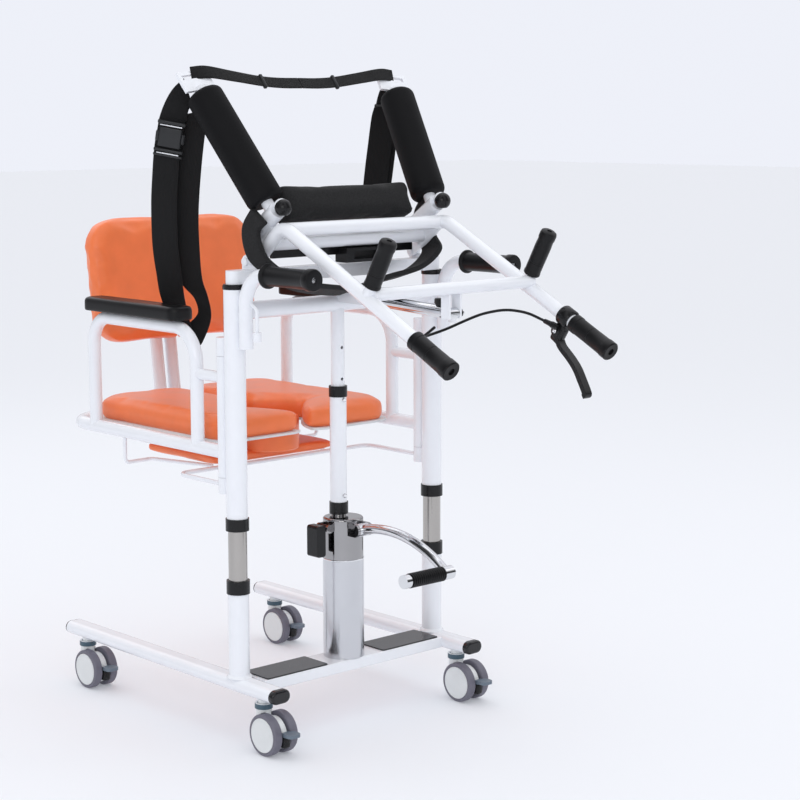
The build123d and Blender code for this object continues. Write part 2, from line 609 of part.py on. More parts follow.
def release_lever():
    """Two-finger blade under the left handle grip, on a pin through the clamp's ears."""
    y, z = LEVER_PIVOT
    blade = bent_tube([(TORSO_X, y, z), (TORSO_X, y - 20, z - 42), (TORSO_X, y - 76, z - 96)], 9, 22)
    hub = rod((TORSO_X - 5, y, z), (TORSO_X + 5, y, z), 13)
    return blade + hub - rod((TORSO_X - 8, y, z), (TORSO_X + 8, y, z), 5 + 2 * RUN)


def lever_clamp():
    y, z = LEVER_PIVOT
    clamp = ring(handle_point(-366), handle_point(-392), 35, TUBE)
    for sign in SIDES.values():
        ear = block((5.4, y - 7, z - 7), (9, y + 7, z + 30))
        clamp += Pos(TORSO_X, 0, 0) * on_side(ear, sign)
    clamp += rod((TORSO_X - 9, y, z), (TORSO_X + 9, y, z), 5)
    clamp += rod((174, -352, 766), (177.6, -372.4, 758.8), 9)
    return clamp - rod(handle_point(-340), handle_point(-420), TUBE)


def bend_radii(route):
    """Largest tangent arc that the two runs at each corner leave room for."""
    radii = []
    for before, at, after in zip(route, route[1:], route[2:]):
        into, out = Vector(*at) - Vector(*before), Vector(*after) - Vector(*at)
        turn = math.radians(into.get_angle(out))
        radii.append(0.45 * min(into.length, out.length) / math.tan(turn / 2))
    return radii


def lock_cable():
    return bent_tube(CABLE_ROUTE, CABLE_D, bend_radii(CABLE_ROUTE))


save("strut_cylinder", strut_cylinder())
save("strut_rod", strut_rod())
save("release_lever", release_lever())
save("lever_clamp", lever_clamp())
save("lock_cable", lock_cable())


# ---- underarm supports ----------------------------------------------------------------------
def arm_plane():
    """Local frame of one arm: Z up its roll, X outward, Y back along the pivot axis."""
    pitch, splay = math.radians(ARM_PITCH), math.radians(ARM_SPLAY)
    normal = Vector(0, math.sin(pitch), math.cos(pitch))
    up = normal * math.cos(splay) + Vector(math.sin(splay), 0, 0)
    out = Vector(math.cos(splay), 0, 0) - normal * math.sin(splay)
    return Plane(origin=along_arm_axis(15), x_dir=out, z_dir=up)


def arm_frame():
    """Turning sleeve with its ball knob, the core tube of the roll and the slotted strap bracket."""
    sleeve = rod((0, 14.6, 0), (0, -13, 0), 31) + rod((0, -13, 0), (0, -25, 0), 12)
    sleeve += Pos(0, -26, 0) * Sphere(13)
    sleeve += rod((0, 0, 8), (0, 0, BRACKET_Z), 22)
    sleeve -= rod((0, 16, 0), (0, -9.5, 0), 16 + 2 * RUN)
    plate = block((-34, -3, BRACKET_Z - 6), (34, 3, BRACKET_Z + 34))
    plate -= block((-27, -4, BRACKET_Z + 18), (27, 4, BRACKET_Z + 27))
    return sleeve + plate


def arm_roll():
    roll = rod((0, 0, ROLL_START), (0, 0, ROLL_START + ROLL_L), ROLL_D)
    roll = fillet(roll.edges(), 8)
    return roll - rod((0, 0, 0), (0, 0, 400), 22)


def hanging_strap():
    """Loop of webbing that hangs from the strap bracket, drawn as its edge and given its width."""
    turn = math.radians(STRAP_TURN)
    across = (math.cos(turn), math.sin(turn), 0)
    plane = Plane(origin=(172, 200, 0), x_dir=(-math.sin(turn), math.cos(turn), 0), z_dir=across)
    outer = Polyline((-88, 1168), (20, 1112), (64, 1040), (66, 780), (34, 702), (-18, 722), (-48, 860), (-88, 1146))
    inner = Polyline((-85, 1146), (-45, 860), (-16, 726), (33, 706), (63, 781), (61, 1039), (18, 1109), (-88, 1164))
    edge = make_face(outer + Line(outer @ 1, inner @ 0) + inner + Line(inner @ 1, outer @ 0))
    return extrude(plane * (Pos(0, 0, -STRAP_W / 2) * edge), amount=STRAP_W)


def belt_half():
    """Half of the cross belt, from the bracket in to the middle, sagging."""
    outline = make_face(Polyline((197, 1210), (197, 1182), (100, 1158), (1, 1152), (1, 1180), (100, 1184), close=True))
    return extrude(Plane(origin=(0, 112, 0), x_dir=(1, 0, 0), z_dir=(0, -1, 0)) * outline, amount=STRAP_T)


for side, sign in SIDES.items():
    save(f"arm_frame_{side}", on_side(arm_plane() * arm_frame(), sign))
    save(f"arm_roll_{side}", on_side(arm_plane() * arm_roll(), sign))
    save(f"arm_strap_{side}", Compound([on_side(hanging_strap(), sign), on_side(belt_half(), sign)]))
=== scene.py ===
import json
import logging
import math
from dataclasses import dataclass, field
from enum import Enum

import bpy
from mathutils import Matrix, Vector

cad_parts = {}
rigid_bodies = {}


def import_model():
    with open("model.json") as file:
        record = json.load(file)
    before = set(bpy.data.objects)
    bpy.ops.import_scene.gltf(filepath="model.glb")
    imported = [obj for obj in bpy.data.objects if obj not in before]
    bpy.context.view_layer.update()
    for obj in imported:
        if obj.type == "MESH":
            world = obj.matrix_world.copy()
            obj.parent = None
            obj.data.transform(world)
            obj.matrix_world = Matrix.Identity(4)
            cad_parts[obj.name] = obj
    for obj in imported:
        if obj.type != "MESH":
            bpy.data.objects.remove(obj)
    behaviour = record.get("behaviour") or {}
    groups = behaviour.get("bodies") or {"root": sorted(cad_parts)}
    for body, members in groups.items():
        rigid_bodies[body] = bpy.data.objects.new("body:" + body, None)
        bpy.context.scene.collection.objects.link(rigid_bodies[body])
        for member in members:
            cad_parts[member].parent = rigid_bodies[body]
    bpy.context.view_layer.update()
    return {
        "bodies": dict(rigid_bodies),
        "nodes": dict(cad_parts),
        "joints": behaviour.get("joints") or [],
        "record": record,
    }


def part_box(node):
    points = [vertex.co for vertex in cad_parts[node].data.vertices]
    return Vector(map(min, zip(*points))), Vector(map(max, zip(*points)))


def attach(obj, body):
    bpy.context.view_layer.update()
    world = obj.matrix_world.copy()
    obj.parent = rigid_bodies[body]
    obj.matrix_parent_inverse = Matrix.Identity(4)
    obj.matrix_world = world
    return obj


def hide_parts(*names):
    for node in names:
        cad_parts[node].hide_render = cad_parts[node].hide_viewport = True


LOG = logging.getLogger("sit_to_stand_lift")
Point = tuple[float, float, float]
MM = 0.001
TRACK = 235.7 * MM          # post centre line to the middle of the lift


class Side(Enum):
    """Side of the seated person."""

    RIGHT = -1
    LEFT = 1

    @property
    def word(self) -> str:
        """Name of the side in lower case."""
        return self.name.lower()


def mm(*rings: tuple[float, float]) -> list[tuple[float, float]]:
    """Rings of a turned part in metres, from distances and radii in millimetres."""
    return [(at * MM, radius * MM) for at, radius in rings]


# ---- finishes -------------------------------------------------------------------------------
class Pattern(Enum):
    """What a surface's relief is made of."""

    SPECKLE = "speckle"
    BRUSHED = "brushed"
    GRAIN = "grain"
    WEAVE = "weave"
    MESH = "mesh"


@dataclass(frozen=True)
class Finish:
    """One surface finish: colour, gloss and relief."""

    name: str
    colour: Point
    roughness: float
    metallic: float = 0.0
    coat: float = 0.0
    sheen: float = 0.0
    specular: float = 0.5
    pattern: Pattern = Pattern.SPECKLE
    scale: float = 900.0
    depth: float = 0.00003
    mottle: float = 0.03

    def build(self) -> bpy.types.Material:
        """Make the material's nodes.

        Returns:
            The finished material.
        """
        material = bpy.data.materials.new(self.name)
        material.use_nodes = True
        nodes, links = material.node_tree.nodes, material.node_tree.links
        shader = nodes["Principled BSDF"]
        shader.inputs["Metallic"].default_value = self.metallic
        shader.inputs["Coat Weight"].default_value = self.coat
        shader.inputs["Coat Roughness"].default_value = 0.15
        shader.inputs["Sheen Weight"].default_value = self.sheen
        shader.inputs["Sheen Roughness"].default_value = 0.45
        shader.inputs["Specular IOR Level"].default_value = self.specular
        coords = nodes.new("ShaderNodeTexCoord")

        cloud = nodes.new("ShaderNodeTexNoise")
        cloud.inputs["Scale"].default_value = 22.0
        cloud.inputs["Detail"].default_value = 5.0
        links.new(coords.outputs["Object"], cloud.inputs["Vector"])
        ramp = nodes.new("ShaderNodeValToRGB")
        low = tuple(max(0.0, c * (1 - self.mottle)) for c in self.colour)
        high = tuple(min(1.0, c * (1 + self.mottle)) for c in self.colour)
        ramp.color_ramp.elements[0].color = (*low, 1)
        ramp.color_ramp.elements[0].position = 0.3
        ramp.color_ramp.elements[1].color = (*high, 1)
        ramp.color_ramp.elements[1].position = 0.7
        links.new(cloud.outputs["Fac"], ramp.inputs["Fac"])
        links.new(ramp.outputs["Color"], shader.inputs["Base Color"])
        if self.pattern is Pattern.MESH:
            self.dots(nodes, links, coords, ramp, shader)

        wear = nodes.new("ShaderNodeMapRange")
        wear.inputs["To Min"].default_value = max(0.02, self.roughness - 0.06)
        wear.inputs["To Max"].default_value = min(1.0, self.roughness + 0.06)
        links.new(cloud.outputs["Fac"], wear.inputs["Value"])
        links.new(wear.outputs["Result"], shader.inputs["Roughness"])

        bump = nodes.new("ShaderNodeBump")
        bump.inputs["Distance"].default_value = self.depth
        bump.inputs["Strength"].default_value = 0.8
        links.new(self.relief(nodes, links, coords), bump.inputs["Height"])
        links.new(bump.outputs["Normal"], shader.inputs["Normal"])
        return material

    def dots(self, nodes: bpy.types.Nodes, links: bpy.types.NodeLinks, coords: bpy.types.ShaderNode,
             base: bpy.types.ShaderNode, shader: bpy.types.ShaderNode) -> None:
        """Lighten the threads between the holes of a mesh fabric.

        Args:
            nodes: The material's nodes.
            links: The material's links.
            coords: Its texture coordinate node.
            base: The node that gives the fabric's colour.
            shader: Its surface shader.
        """
        cells = nodes.new("ShaderNodeTexVoronoi")
        cells.inputs["Scale"].default_value = self.scale
        cells.inputs["Randomness"].default_value = 1.0
        links.new(coords.outputs["Object"], cells.inputs["Vector"])
        edge = nodes.new("ShaderNodeMapRange")
        edge.inputs["From Min"].default_value = 0.25
        edge.inputs["From Max"].default_value = 0.55
        links.new(cells.outputs["Distance"], edge.inputs["Value"])
        mix = nodes.new("ShaderNodeMixRGB")
        mix.inputs["Color2"].default_value = (0.020, 0.020, 0.021, 1)
        links.new(edge.outputs["Result"], mix.inputs["Fac"])
        links.new(base.outputs["Color"], mix.inputs["Color1"])
        links.new(mix.outputs["Color"], shader.inputs["Base Color"])

    def relief(self, nodes: bpy.types.Nodes, links: bpy.types.NodeLinks,
               coords: bpy.types.ShaderNode) -> bpy.types.NodeSocket:
        """Add the nodes of the fine relief.

        Args:
            nodes: The material's nodes.
            links: The material's links.
            coords: Its texture coordinate node.

        Returns:
            The socket that gives the height.
        """
        if self.pattern is Pattern.WEAVE:
            across = nodes.new("ShaderNodeTexWave")
            across.bands_direction = "Y"
            across.inputs["Scale"].default_value = self.scale
            along = nodes.new("ShaderNodeTexWave")
            along.bands_direction = "X"
            along.inputs["Scale"].default_value = 5.5
            for wave in (across, along):
                links.new(coords.outputs["UV"], wave.inputs["Vector"])
            mix = nodes.new("ShaderNodeMath")
            mix.operation = "ADD"
            links.new(across.outputs["Fac"], mix.inputs[0])
            links.new(along.outputs["Fac"], mix.inputs[1])
            return mix.outputs[0]
        if self.pattern in (Pattern.MESH, Pattern.GRAIN):
            cells = nodes.new("ShaderNodeTexVoronoi")
            cells.inputs["Scale"].default_value = self.scale
            if self.pattern is Pattern.MESH:
                cells.inputs["Randomness"].default_value = 1.0
            links.new(coords.outputs["Object"], cells.inputs["Vector"])
            return cells.outputs["Distance"]
        noise = nodes.new("ShaderNodeTexNoise")
        noise.inputs["Scale"].default_value = self.scale
        noise.inputs["Detail"].default_value = 3.0
        if self.pattern is Pattern.BRUSHED:
            stretch = nodes.new("ShaderNodeMapping")
            stretch.inputs["Scale"].default_value = (1.0, 1.0, 0.02)
            links.new(coords.outputs["Object"], stretch.inputs["Vector"])
            links.new(stretch.outputs["Vector"], noise.inputs["Vector"])
        else:
            links.new(coords.outputs["Object"], noise.inputs["Vector"])
        return noise.outputs["Fac"]


@dataclass
class Finishes:
    """All the lift's finishes, built once."""

    white: Finish = Finish("white_powder_coat", (0.86, 0.88, 0.93), 0.24, coat=0.45, scale=1400,
                           depth=0.00002,
                           mottle=0.015)
    aluminium: Finish = Finish("polished_aluminium", (0.62, 0.63, 0.66), 0.2, metallic=1.0,
                               pattern=Pattern.BRUSHED, scale=700)
    chrome: Finish = Finish("chrome_plate", (0.74, 0.75, 0.77), 0.06, metallic=1.0, scale=300,
                            depth=0.00001)
    head: Finish = Finish("dark_chrome", (0.36, 0.355, 0.36), 0.05, metallic=1.0, scale=300,
                          depth=0.00001)
    steel: Finish = Finish("brushed_stainless", (0.46, 0.44, 0.42), 0.24, metallic=1.0,
                           pattern=Pattern.BRUSHED, scale=300, depth=0.00001)
    orange: Finish = Finish("orange_leatherette", (0.93, 0.205, 0.060), 0.38, coat=0.10, sheen=0.08,
                            pattern=Pattern.GRAIN, scale=750, depth=0.00009, mottle=0.05)
    board: Finish = Finish("seat_board", (0.72, 0.74, 0.76), 0.45)
    foam: Finish = Finish("black_foam", (0.007, 0.007, 0.008), 0.6, specular=0.12,
                          pattern=Pattern.GRAIN,
                          scale=1500, depth=0.00008)
    rubber: Finish = Finish("black_rubber", (0.008, 0.008, 0.009), 0.36, specular=0.22, scale=1600,
                            depth=0.00006)
    plastic: Finish = Finish("black_plastic", (0.008, 0.008, 0.009), 0.25, specular=0.3, scale=1500,
                             depth=0.00004)
    gloss: Finish = Finish("black_moulding", (0.010, 0.010, 0.012), 0.22, specular=0.5, scale=1500,
                           depth=0.00004)
    buckle: Finish = Finish("buckle_plastic", (0.016, 0.017, 0.019), 0.28, specular=0.4, scale=1500,
                            depth=0.00004)
    white_plastic: Finish = Finish("white_plastic", (0.82, 0.84, 0.85), 0.34, scale=1200, depth=0.00003)
    hub: Finish = Finish("hub_plastic", (0.74, 0.76, 0.77), 0.42, scale=1200, depth=0.00003)
    tyre: Finish = Finish("grey_tyre", (0.150, 0.145, 0.185), 0.48, scale=1100, depth=0.00006)
    pedal: Finish = Finish("pedal_blue_grey", (0.135, 0.170, 0.215), 0.42, scale=1200, depth=0.00005)
    collar: Finish = Finish("castor_collar", (0.060, 0.110, 0.150), 0.4, scale=1200, depth=0.00005)
    mesh: Finish = Finish("mesh_fabric", (0.010, 0.0102, 0.011), 0.75, sheen=0.08, specular=0.15,
                          pattern=Pattern.MESH,
                          scale=520, depth=0.0004)
    webbing: Finish = Finish("webbing", (0.008, 0.0082, 0.009), 0.55, sheen=0.05, specular=0.18,
                             pattern=Pattern.WEAVE,
                             scale=260, depth=0.0003)
    made: dict[str, bpy.types.Material] = field(default_factory=dict)

    def of(self, finish: Finish) -> bpy.types.Material:
        """The material of a finish, built at its first use."""
        if finish.name not in self.made:
            self.made[finish.name] = finish.build()
        return self.made[finish.name]


# ---- bench: modelling by operators ----------------------------------------------------------
class Bench:
    """Adds primitives and shapes them in edit mode."""

    @staticmethod
    def clear() -> None:
        """Leave edit mode and deselect everything."""
        if bpy.context.mode != "OBJECT":
            bpy.ops.object.mode_set(mode="OBJECT")
        bpy.ops.object.select_all(action="DESELECT")

    @staticmethod
    def pick(piece: bpy.types.Object) -> None:
        """Select one object alone and make it active."""
        Bench.clear()
        piece.select_set(True)
        bpy.context.view_layer.objects.active = piece

    @staticmethod
    def place(piece: bpy.types.Object, name: str, matrix: Matrix | None = None) -> bpy.types.Object:
        """Name a piece and put its place into its mesh.

        Args:
            piece: The object that was modelled at the origin.
            name: Its name.
            matrix: Where it goes.

        Returns:
            The same object, at the origin, unturned and unscaled.
        """
        Bench.pick(piece)
        piece.name = name
        piece.data.name = name
        if matrix is not None:
            piece.matrix_world = matrix @ piece.matrix_world
        bpy.ops.object.transform_apply(location=True, rotation=True, scale=True)
        return piece

    @staticmethod
    def tidy(piece: bpy.types.Object, smooth_degrees: float = 35.0) -> bpy.types.Object:
        """Merge doubles, face normals outward and shade smooth by angle."""
        Bench.pick(piece)
        bpy.ops.object.mode_set(mode="EDIT")
        bpy.ops.mesh.select_all(action="SELECT")
        bpy.ops.mesh.remove_doubles(threshold=1e-6)
        bpy.ops.mesh.normals_make_consistent(inside=False)
        bpy.ops.object.mode_set(mode="OBJECT")
        bpy.ops.object.shade_smooth_by_angle(angle=math.radians(smooth_degrees))
        return piece

    @staticmethod
    def modify(piece: bpy.types.Object, kind: str, **settings: object) -> bpy.types.Object:
        """Add one modifier and apply it.

        Args:
            piece: The object.
            kind: Blender's name of the modifier type.
            settings: Its properties.

        Returns:
            The same object.
        """
        Bench.pick(piece)
        modifier = piece.modifiers.new(kind.lower(), kind)
        for key, value in settings.items():
            setattr(modifier, key, value)
        bpy.ops.object.modifier_apply(modifier=modifier.name)
        return piece

    @staticmethod
    def toward(start: Point, end: Point) -> Matrix:
        """Matrix that takes +Z at the origin to the line from start to end."""
        axis = Vector(end) - Vector(start)
        return Matrix.Translation(start) @ axis.to_track_quat("Z", "Y").to_matrix().to_4x4()

    @staticmethod
    def turned(name: str, start: Point, end: Point, rings: list[tuple[float, float]],
               sides: int = 40) -> bpy.types.Object:
        """Turned part: a disc extruded and resized from ring to ring.

        Args:
            name: The piece's name.
            start: Where distance 0 is.
            end: A point that the axis runs towards.
            rings: Distance along the axis and radius, in metres.
            sides: Number of sides.

        Returns:
            The closed piece in place.
        """
        Bench.clear()
        (at, radius), *rest = rings
        bpy.ops.mesh.primitive_circle_add(vertices=sides, radius=radius, fill_type="NGON",
                                          location=(0, 0, at))
        piece = bpy.context.object
        bpy.ops.object.transform_apply(location=True, rotation=True, scale=True)
        bpy.ops.object.mode_set(mode="EDIT")
        bpy.ops.mesh.select_all(action="SELECT")
        for distance, next_radius in rest:
            bpy.ops.mesh.extrude_region_move(TRANSFORM_OT_translate={"value": (0, 0, distance - at)})
            share = next_radius / radius
            bpy.ops.transform.resize(value=(share, share, 1), center_override=(0, 0, distance))
            at, radius = distance, next_radius
        bpy.ops.object.mode_set(mode="OBJECT")
        Bench.place(piece, name, Bench.toward(start, end))
        return Bench.tidy(piece)

    @staticmethod
    def ball(name: str, centre: Point, radius: float, squash: float = 1.0) -> bpy.types.Object:
        """Ball, flattened along Z by squash, with a small flat ground under it."""
        Bench.clear()
        bpy.ops.mesh.primitive_uv_sphere_add(segments=32, ring_count=20, radius=radius)
        piece = bpy.context.object
        bpy.ops.object.mode_set(mode="EDIT")
        bpy.ops.mesh.select_all(action="SELECT")
        bpy.ops.transform.resize(value=(1, 1, squash))
        bpy.ops.mesh.bisect(plane_co=(0, 0, -radius * squash * 0.86), plane_no=(0, 0, -1),
                            use_fill=True, clear_outer=True)
        bpy.ops.object.mode_set(mode="OBJECT")
        Bench.place(piece, name, Matrix.Translation(centre))
        return Bench.tidy(piece)

    @staticmethod
    def slab(name: str, size: Point, matrix: Matrix, bevel: float, segments: int = 3) -> bpy.types.Object:
        """Block with all its edges rounded.

        Args:
            name: The piece's name.
            size: Full size along its own axes.
            matrix: Where its centre goes.
            bevel: Radius of the edges.
            segments: Segments of the rounding.

        Returns:
            The piece in place.
        """
        Bench.clear()
        bpy.ops.mesh.primitive_cube_add(size=1)
        piece = bpy.context.object
        piece.scale = size
        bpy.ops.object.transform_apply(location=False, rotation=False, scale=True)
        bpy.ops.object.mode_set(mode="EDIT")
        bpy.ops.mesh.select_all(action="SELECT")
        bpy.ops.mesh.bevel(offset=bevel, segments=segments, affect="EDGES")
        bpy.ops.object.mode_set(mode="OBJECT")
        Bench.place(piece, name, matrix)
        return Bench.tidy(piece)

    @staticmethod
    def ribbon(name: str, path: list[Vector], across: list[Vector], width: float,
               thickness: float) -> bpy.types.Object:
        """Flat strap along a path, from a grid with its rows laid on the path.

        Args:
            name: The piece's name.
            path: Points of the strap's middle line.
            across: Width direction at each point.
            width: Strap width.
            thickness: Strap thickness.

        Returns:
            The strap with rounded edges.
        """
        Bench.clear()
        bpy.ops.mesh.primitive_grid_add(x_subdivisions=4, y_subdivisions=len(path) - 1, size=1,
                                        calc_uvs=True)
        piece = bpy.context.object
        columns = 5
        for index, vertex in enumerate(piece.data.vertices):
            row, column = divmod(index, columns)
            side = (column / (columns - 1) - 0.5) * width
            vertex.co = path[row] + across[row].normalized() * side
        Bench.place(piece, name)
        Bench.modify(piece, "SOLIDIFY", thickness=thickness, offset=0.0)
        Bench.modify(piece, "BEVEL", width=thickness * 0.3, segments=2, angle_limit=math.radians(50))
        bpy.ops.object.shade_smooth_by_angle(angle=math.radians(50))
        return piece

    @staticmethod
    def line(points: list[Point], steps: int = 8) -> list[Vector]:
        """Smooth line through points.

        Args:
            points: The points it goes through.
            steps: Samples between two points.

        Returns:
            The sampled line.
        """
        knots = [Vector(p) for p in points]
        knots = [knots[0] * 2 - knots[1], *knots, knots[-1] * 2 - knots[-2]]
        out = []
        for a, b, c, d in zip(knots, knots[1:], knots[2:], knots[3:]):
            for step in range(steps):
                t = step / steps
                out.append(0.5 * (2 * b + (c - a) * t + (2 * a - 5 * b + 4 * c - d) * t ** 2
                                  + (3 * b - a - 3 * c + d) * t ** 3))
        return [*out, knots[-2]]

    @staticmethod
    def copy_of(node: str, name: str) -> bpy.types.Object:
        """Copy of a CAD node's solid, merged, to shape further."""
        source = FRAME["nodes"][node]
        piece = bpy.data.objects.new(name, source.data.copy())
        bpy.context.collection.objects.link(piece)
        piece.matrix_world = source.matrix_world.copy()
        Bench.place(piece, name)
        bpy.ops.object.mode_set(mode="EDIT")
        bpy.ops.mesh.select_all(action="SELECT")
        bpy.ops.mesh.remove_doubles(threshold=1e-5)
        bpy.ops.object.mode_set(mode="OBJECT")
        piece.data.materials.clear()
        return piece


FRAME: dict = {}


@dataclass
class Part:
    """One sub-assembly: dresses CAD nodes and adds pieces that ride on a body."""

    finishes: Finishes

    def dress(self, finish: Finish, *nodes: str) -> None:
        """Give CAD nodes a finish."""
        for node in nodes:
            shell = FRAME["nodes"][node]
            shell.data.materials.clear()
            shell.data.materials.append(self.finishes.of(finish))
            LOG.info("dressed %s with %s", node, finish.name)

    def fit(self, piece: bpy.types.Object, finish: Finish, body: str, slot: str,
            *replaced: str) -> bpy.types.Object:
        """Finish a new piece and let it ride.

        Args:
            piece: The piece.
            finish: Its finish.
            body: The CAD body that it moves with.
            slot: The record's material slot; not used.
            replaced: CAD nodes that it stands for.

        Returns:
            The same piece.
        """
        piece.data.materials.clear()
        piece.data.materials.append(self.finishes.of(finish))
        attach(piece, body)
        if replaced:
            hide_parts(*replaced)
        LOG.info("made %s on %s", piece.name, body)
        return piece

    def build(self) -> None:
        """Build the sub-assembly."""
        raise NotImplementedError


@dataclass(frozen=True)
class Stuffing:
    """How a padded piece is blown up."""

    voxel: float = 0.005
    shrink: float = 0.004
    pressure: float = 4.0
    cap: float = 0.010
    frames: int = 20
    rounding: int = 6
    fill: float = 0.75


class Pad(Part):
    """Padded pieces: a CAD solid's copy, remeshed and blown up as cloth."""

    def stuffed(self, node: str, name: str, stuffing: Stuffing) -> bpy.types.Object:
        """Blow a CAD solid's copy up as a cushion.

        Args:
            node: The CAD node with the plain solid.
            name: The new piece's name.
            stuffing: Sizes and pressure.

        Returns:
            The cushion's mesh object.
        """
        piece = Bench.copy_of(node, name)
        Bench.modify(piece, "REMESH", mode="VOXEL", voxel_size=stuffing.voxel)
        Bench.modify(piece, "DISPLACE", strength=-stuffing.shrink, mid_level=0.0)
        Bench.modify(piece, "SMOOTH", factor=0.5, iterations=stuffing.rounding)
        self.blow_up(piece, stuffing)
        Bench.modify(piece, "SMOOTH", factor=0.5, iterations=3)
        Bench.modify(piece, "SUBSURF", levels=1, render_levels=1)
        bpy.ops.object.shade_smooth()
        return piece

    @staticmethod
    def blow_up(piece: bpy.types.Object, stuffing: Stuffing) -> None:
        """Run the cloth simulation and keep each point within the cap."""
        before = [v.co.copy() for v in piece.data.vertices]
        Bench.pick(piece)
        modifier = piece.modifiers.new("cloth", "CLOTH")
        settings = modifier.settings
        settings.use_pressure = True
        settings.uniform_pressure_force = stuffing.pressure
        settings.effector_weights.gravity = 0.0
        modifier.collision_settings.use_collision = False
        scene = bpy.context.scene
        modifier.point_cache.frame_end = stuffing.frames
        for frame in range(1, stuffing.frames + 1):
            scene.frame_set(frame)
        bpy.ops.object.modifier_apply(modifier=modifier.name)
        scene.frame_set(1)
        for vertex, start in zip(piece.data.vertices, before):
            move = vertex.co - start
            if move.length > stuffing.cap:
                vertex.co = start + move.normalized() * stuffing.cap


# ---- base, castors and pump -----------------------------------------------------------------
@dataclass
class Base(Part):
    """Rails, crossbar, lower posts and guides."""

    weld_z: float = 0.1185

    def build(self) -> None:
        """Dress the base and add the weld round each post."""
        f = self.finishes
        self.dress(f.white, "base_rail_right", "base_rail_left", "foot_crossbar")
        self.dress(f.plastic, "lower_post_collars")
        self.dress(f.steel, "guide_tubes")
        self.dress(f.gloss, "foot_pads_and_plugs")
        for side in Side:
            x = side.value * TRACK
            weld = Bench.turned(f"post_weld_{side.word}", (x, 0, self.weld_z), (x, 0, 1),
                                mm((0, 23.5), (1.8, 22.8), (4.2, 20.5), (5.5, 19.1)))
            self.fit(weld, f.white, "base", "white_powder_coat")


@dataclass
class Castor(Part):
    """One twin-wheel castor with brake pedal."""

    end: str
    side: Side
    stem_y: float
    axle_z: float = 0.0375
    trail: float = 0.027
    half_width: float = 0.026
    collar_z: float = 0.0768
    brake_size: Point = (0.0155, 0.024, 0.022)
    brake_offset: tuple[float, float] = (-0.027, -0.009)

    def build(self) -> None:
        """Dress the castor and add hub discs, collar ring and brake block."""
        f, tag = self.finishes, f"{self.end}_{self.side.word}"
        self.dress(f.white_plastic, f"castor_housing_{tag}")
        self.dress(f.tyre, f"castor_wheels_{tag}")
        self.dress(f.pedal, f"castor_pedal_{tag}")
        x, axle_y = self.side.value * TRACK, self.stem_y - self.trail
        for face in (-1, 1):
            start = (x + face * (self.half_width - 0.0004), axle_y, self.axle_z)
            name = f"hub_{tag}_{'in' if face < 0 else 'out'}"
            hub = Bench.turned(name, start, (x + face, axle_y, self.axle_z),
                               mm((0, 30.8), (0.8, 30.6), (1.2, 29.8), (0.7, 28.8), (0.9, 15),
                                  (1.4, 8), (1.5, 4), (1.5, 0.8)), sides=56)
            self.fit(hub, f.hub, f"wheels_{tag}", "grey_tyre")
        ring = Bench.turned(f"castor_collar_{tag}", (x, self.stem_y, self.collar_z), (x, self.stem_y, 1),
                            mm((0, 15), (0.8, 16.2), (8.8, 16.2), (10, 15), (10.2, 12)))
        self.fit(ring, f.collar, f"castor_{tag}", "pedal_blue_grey")
        ahead, below = self.brake_offset
        block = Bench.slab(f"brake_block_{tag}", self.brake_size,
                           Matrix.Translation((x, axle_y + ahead, self.axle_z + below)), bevel=0.004)
        self.fit(block, f.plastic, f"castor_{tag}", "black_plastic")


@dataclass
class Pump(Part):
    """Foot pump, its lever, release pedal and ram."""

    bar_start: Point = (-0.0102, -0.288, 0.321)
    bar_end: Point = (-0.0898, -0.288, 0.321)
    bar_length: float = 0.0794
    groove_radius: float = 0.0119
    rib_radius: float = 0.0130
    rib_pitch: float = 0.0049
    ribs: int = 16
    pump_y: float = -0.012
    joint_z: float = 0.3005

    def build(self) -> None:
        """Dress the pump and make the ribbed foot bar."""
        f = self.finishes
        self.dress(f.aluminium, "pump_cylinder")
        self.dress(f.head, "pump_head")
        self.dress(f.chrome, "pump_lever", "ram_rod")
        self.dress(f.plastic, "release_pedal")
        rings = [(0, 0.0125)]
        for rib in range(self.ribs):
            low = 0.0004 + rib * self.rib_pitch
            rings += [(low, self.rib_radius), (low + self.rib_pitch * 0.55, self.rib_radius),
                      (low + self.rib_pitch * 0.62, self.groove_radius),
                      (low + self.rib_pitch * 0.93, self.groove_radius)]
        rings.append((self.bar_length, 0.0125))
        bar = Bench.turned("foot_bar_sleeve", self.bar_start, self.bar_end, rings)
        self.fit(bar, f.rubber, "lever", "black_foam", "pump_foot_bar")
        ring = Bench.turned("pump_joint_ring", (0, self.pump_y, self.joint_z), (0, self.pump_y, 1),
                            mm((0, 38.2), (0.5, 38.7), (2.5, 38.7), (3, 38.2)), sides=64)
        self.fit(ring, f.chrome, "base", "chrome_plate")


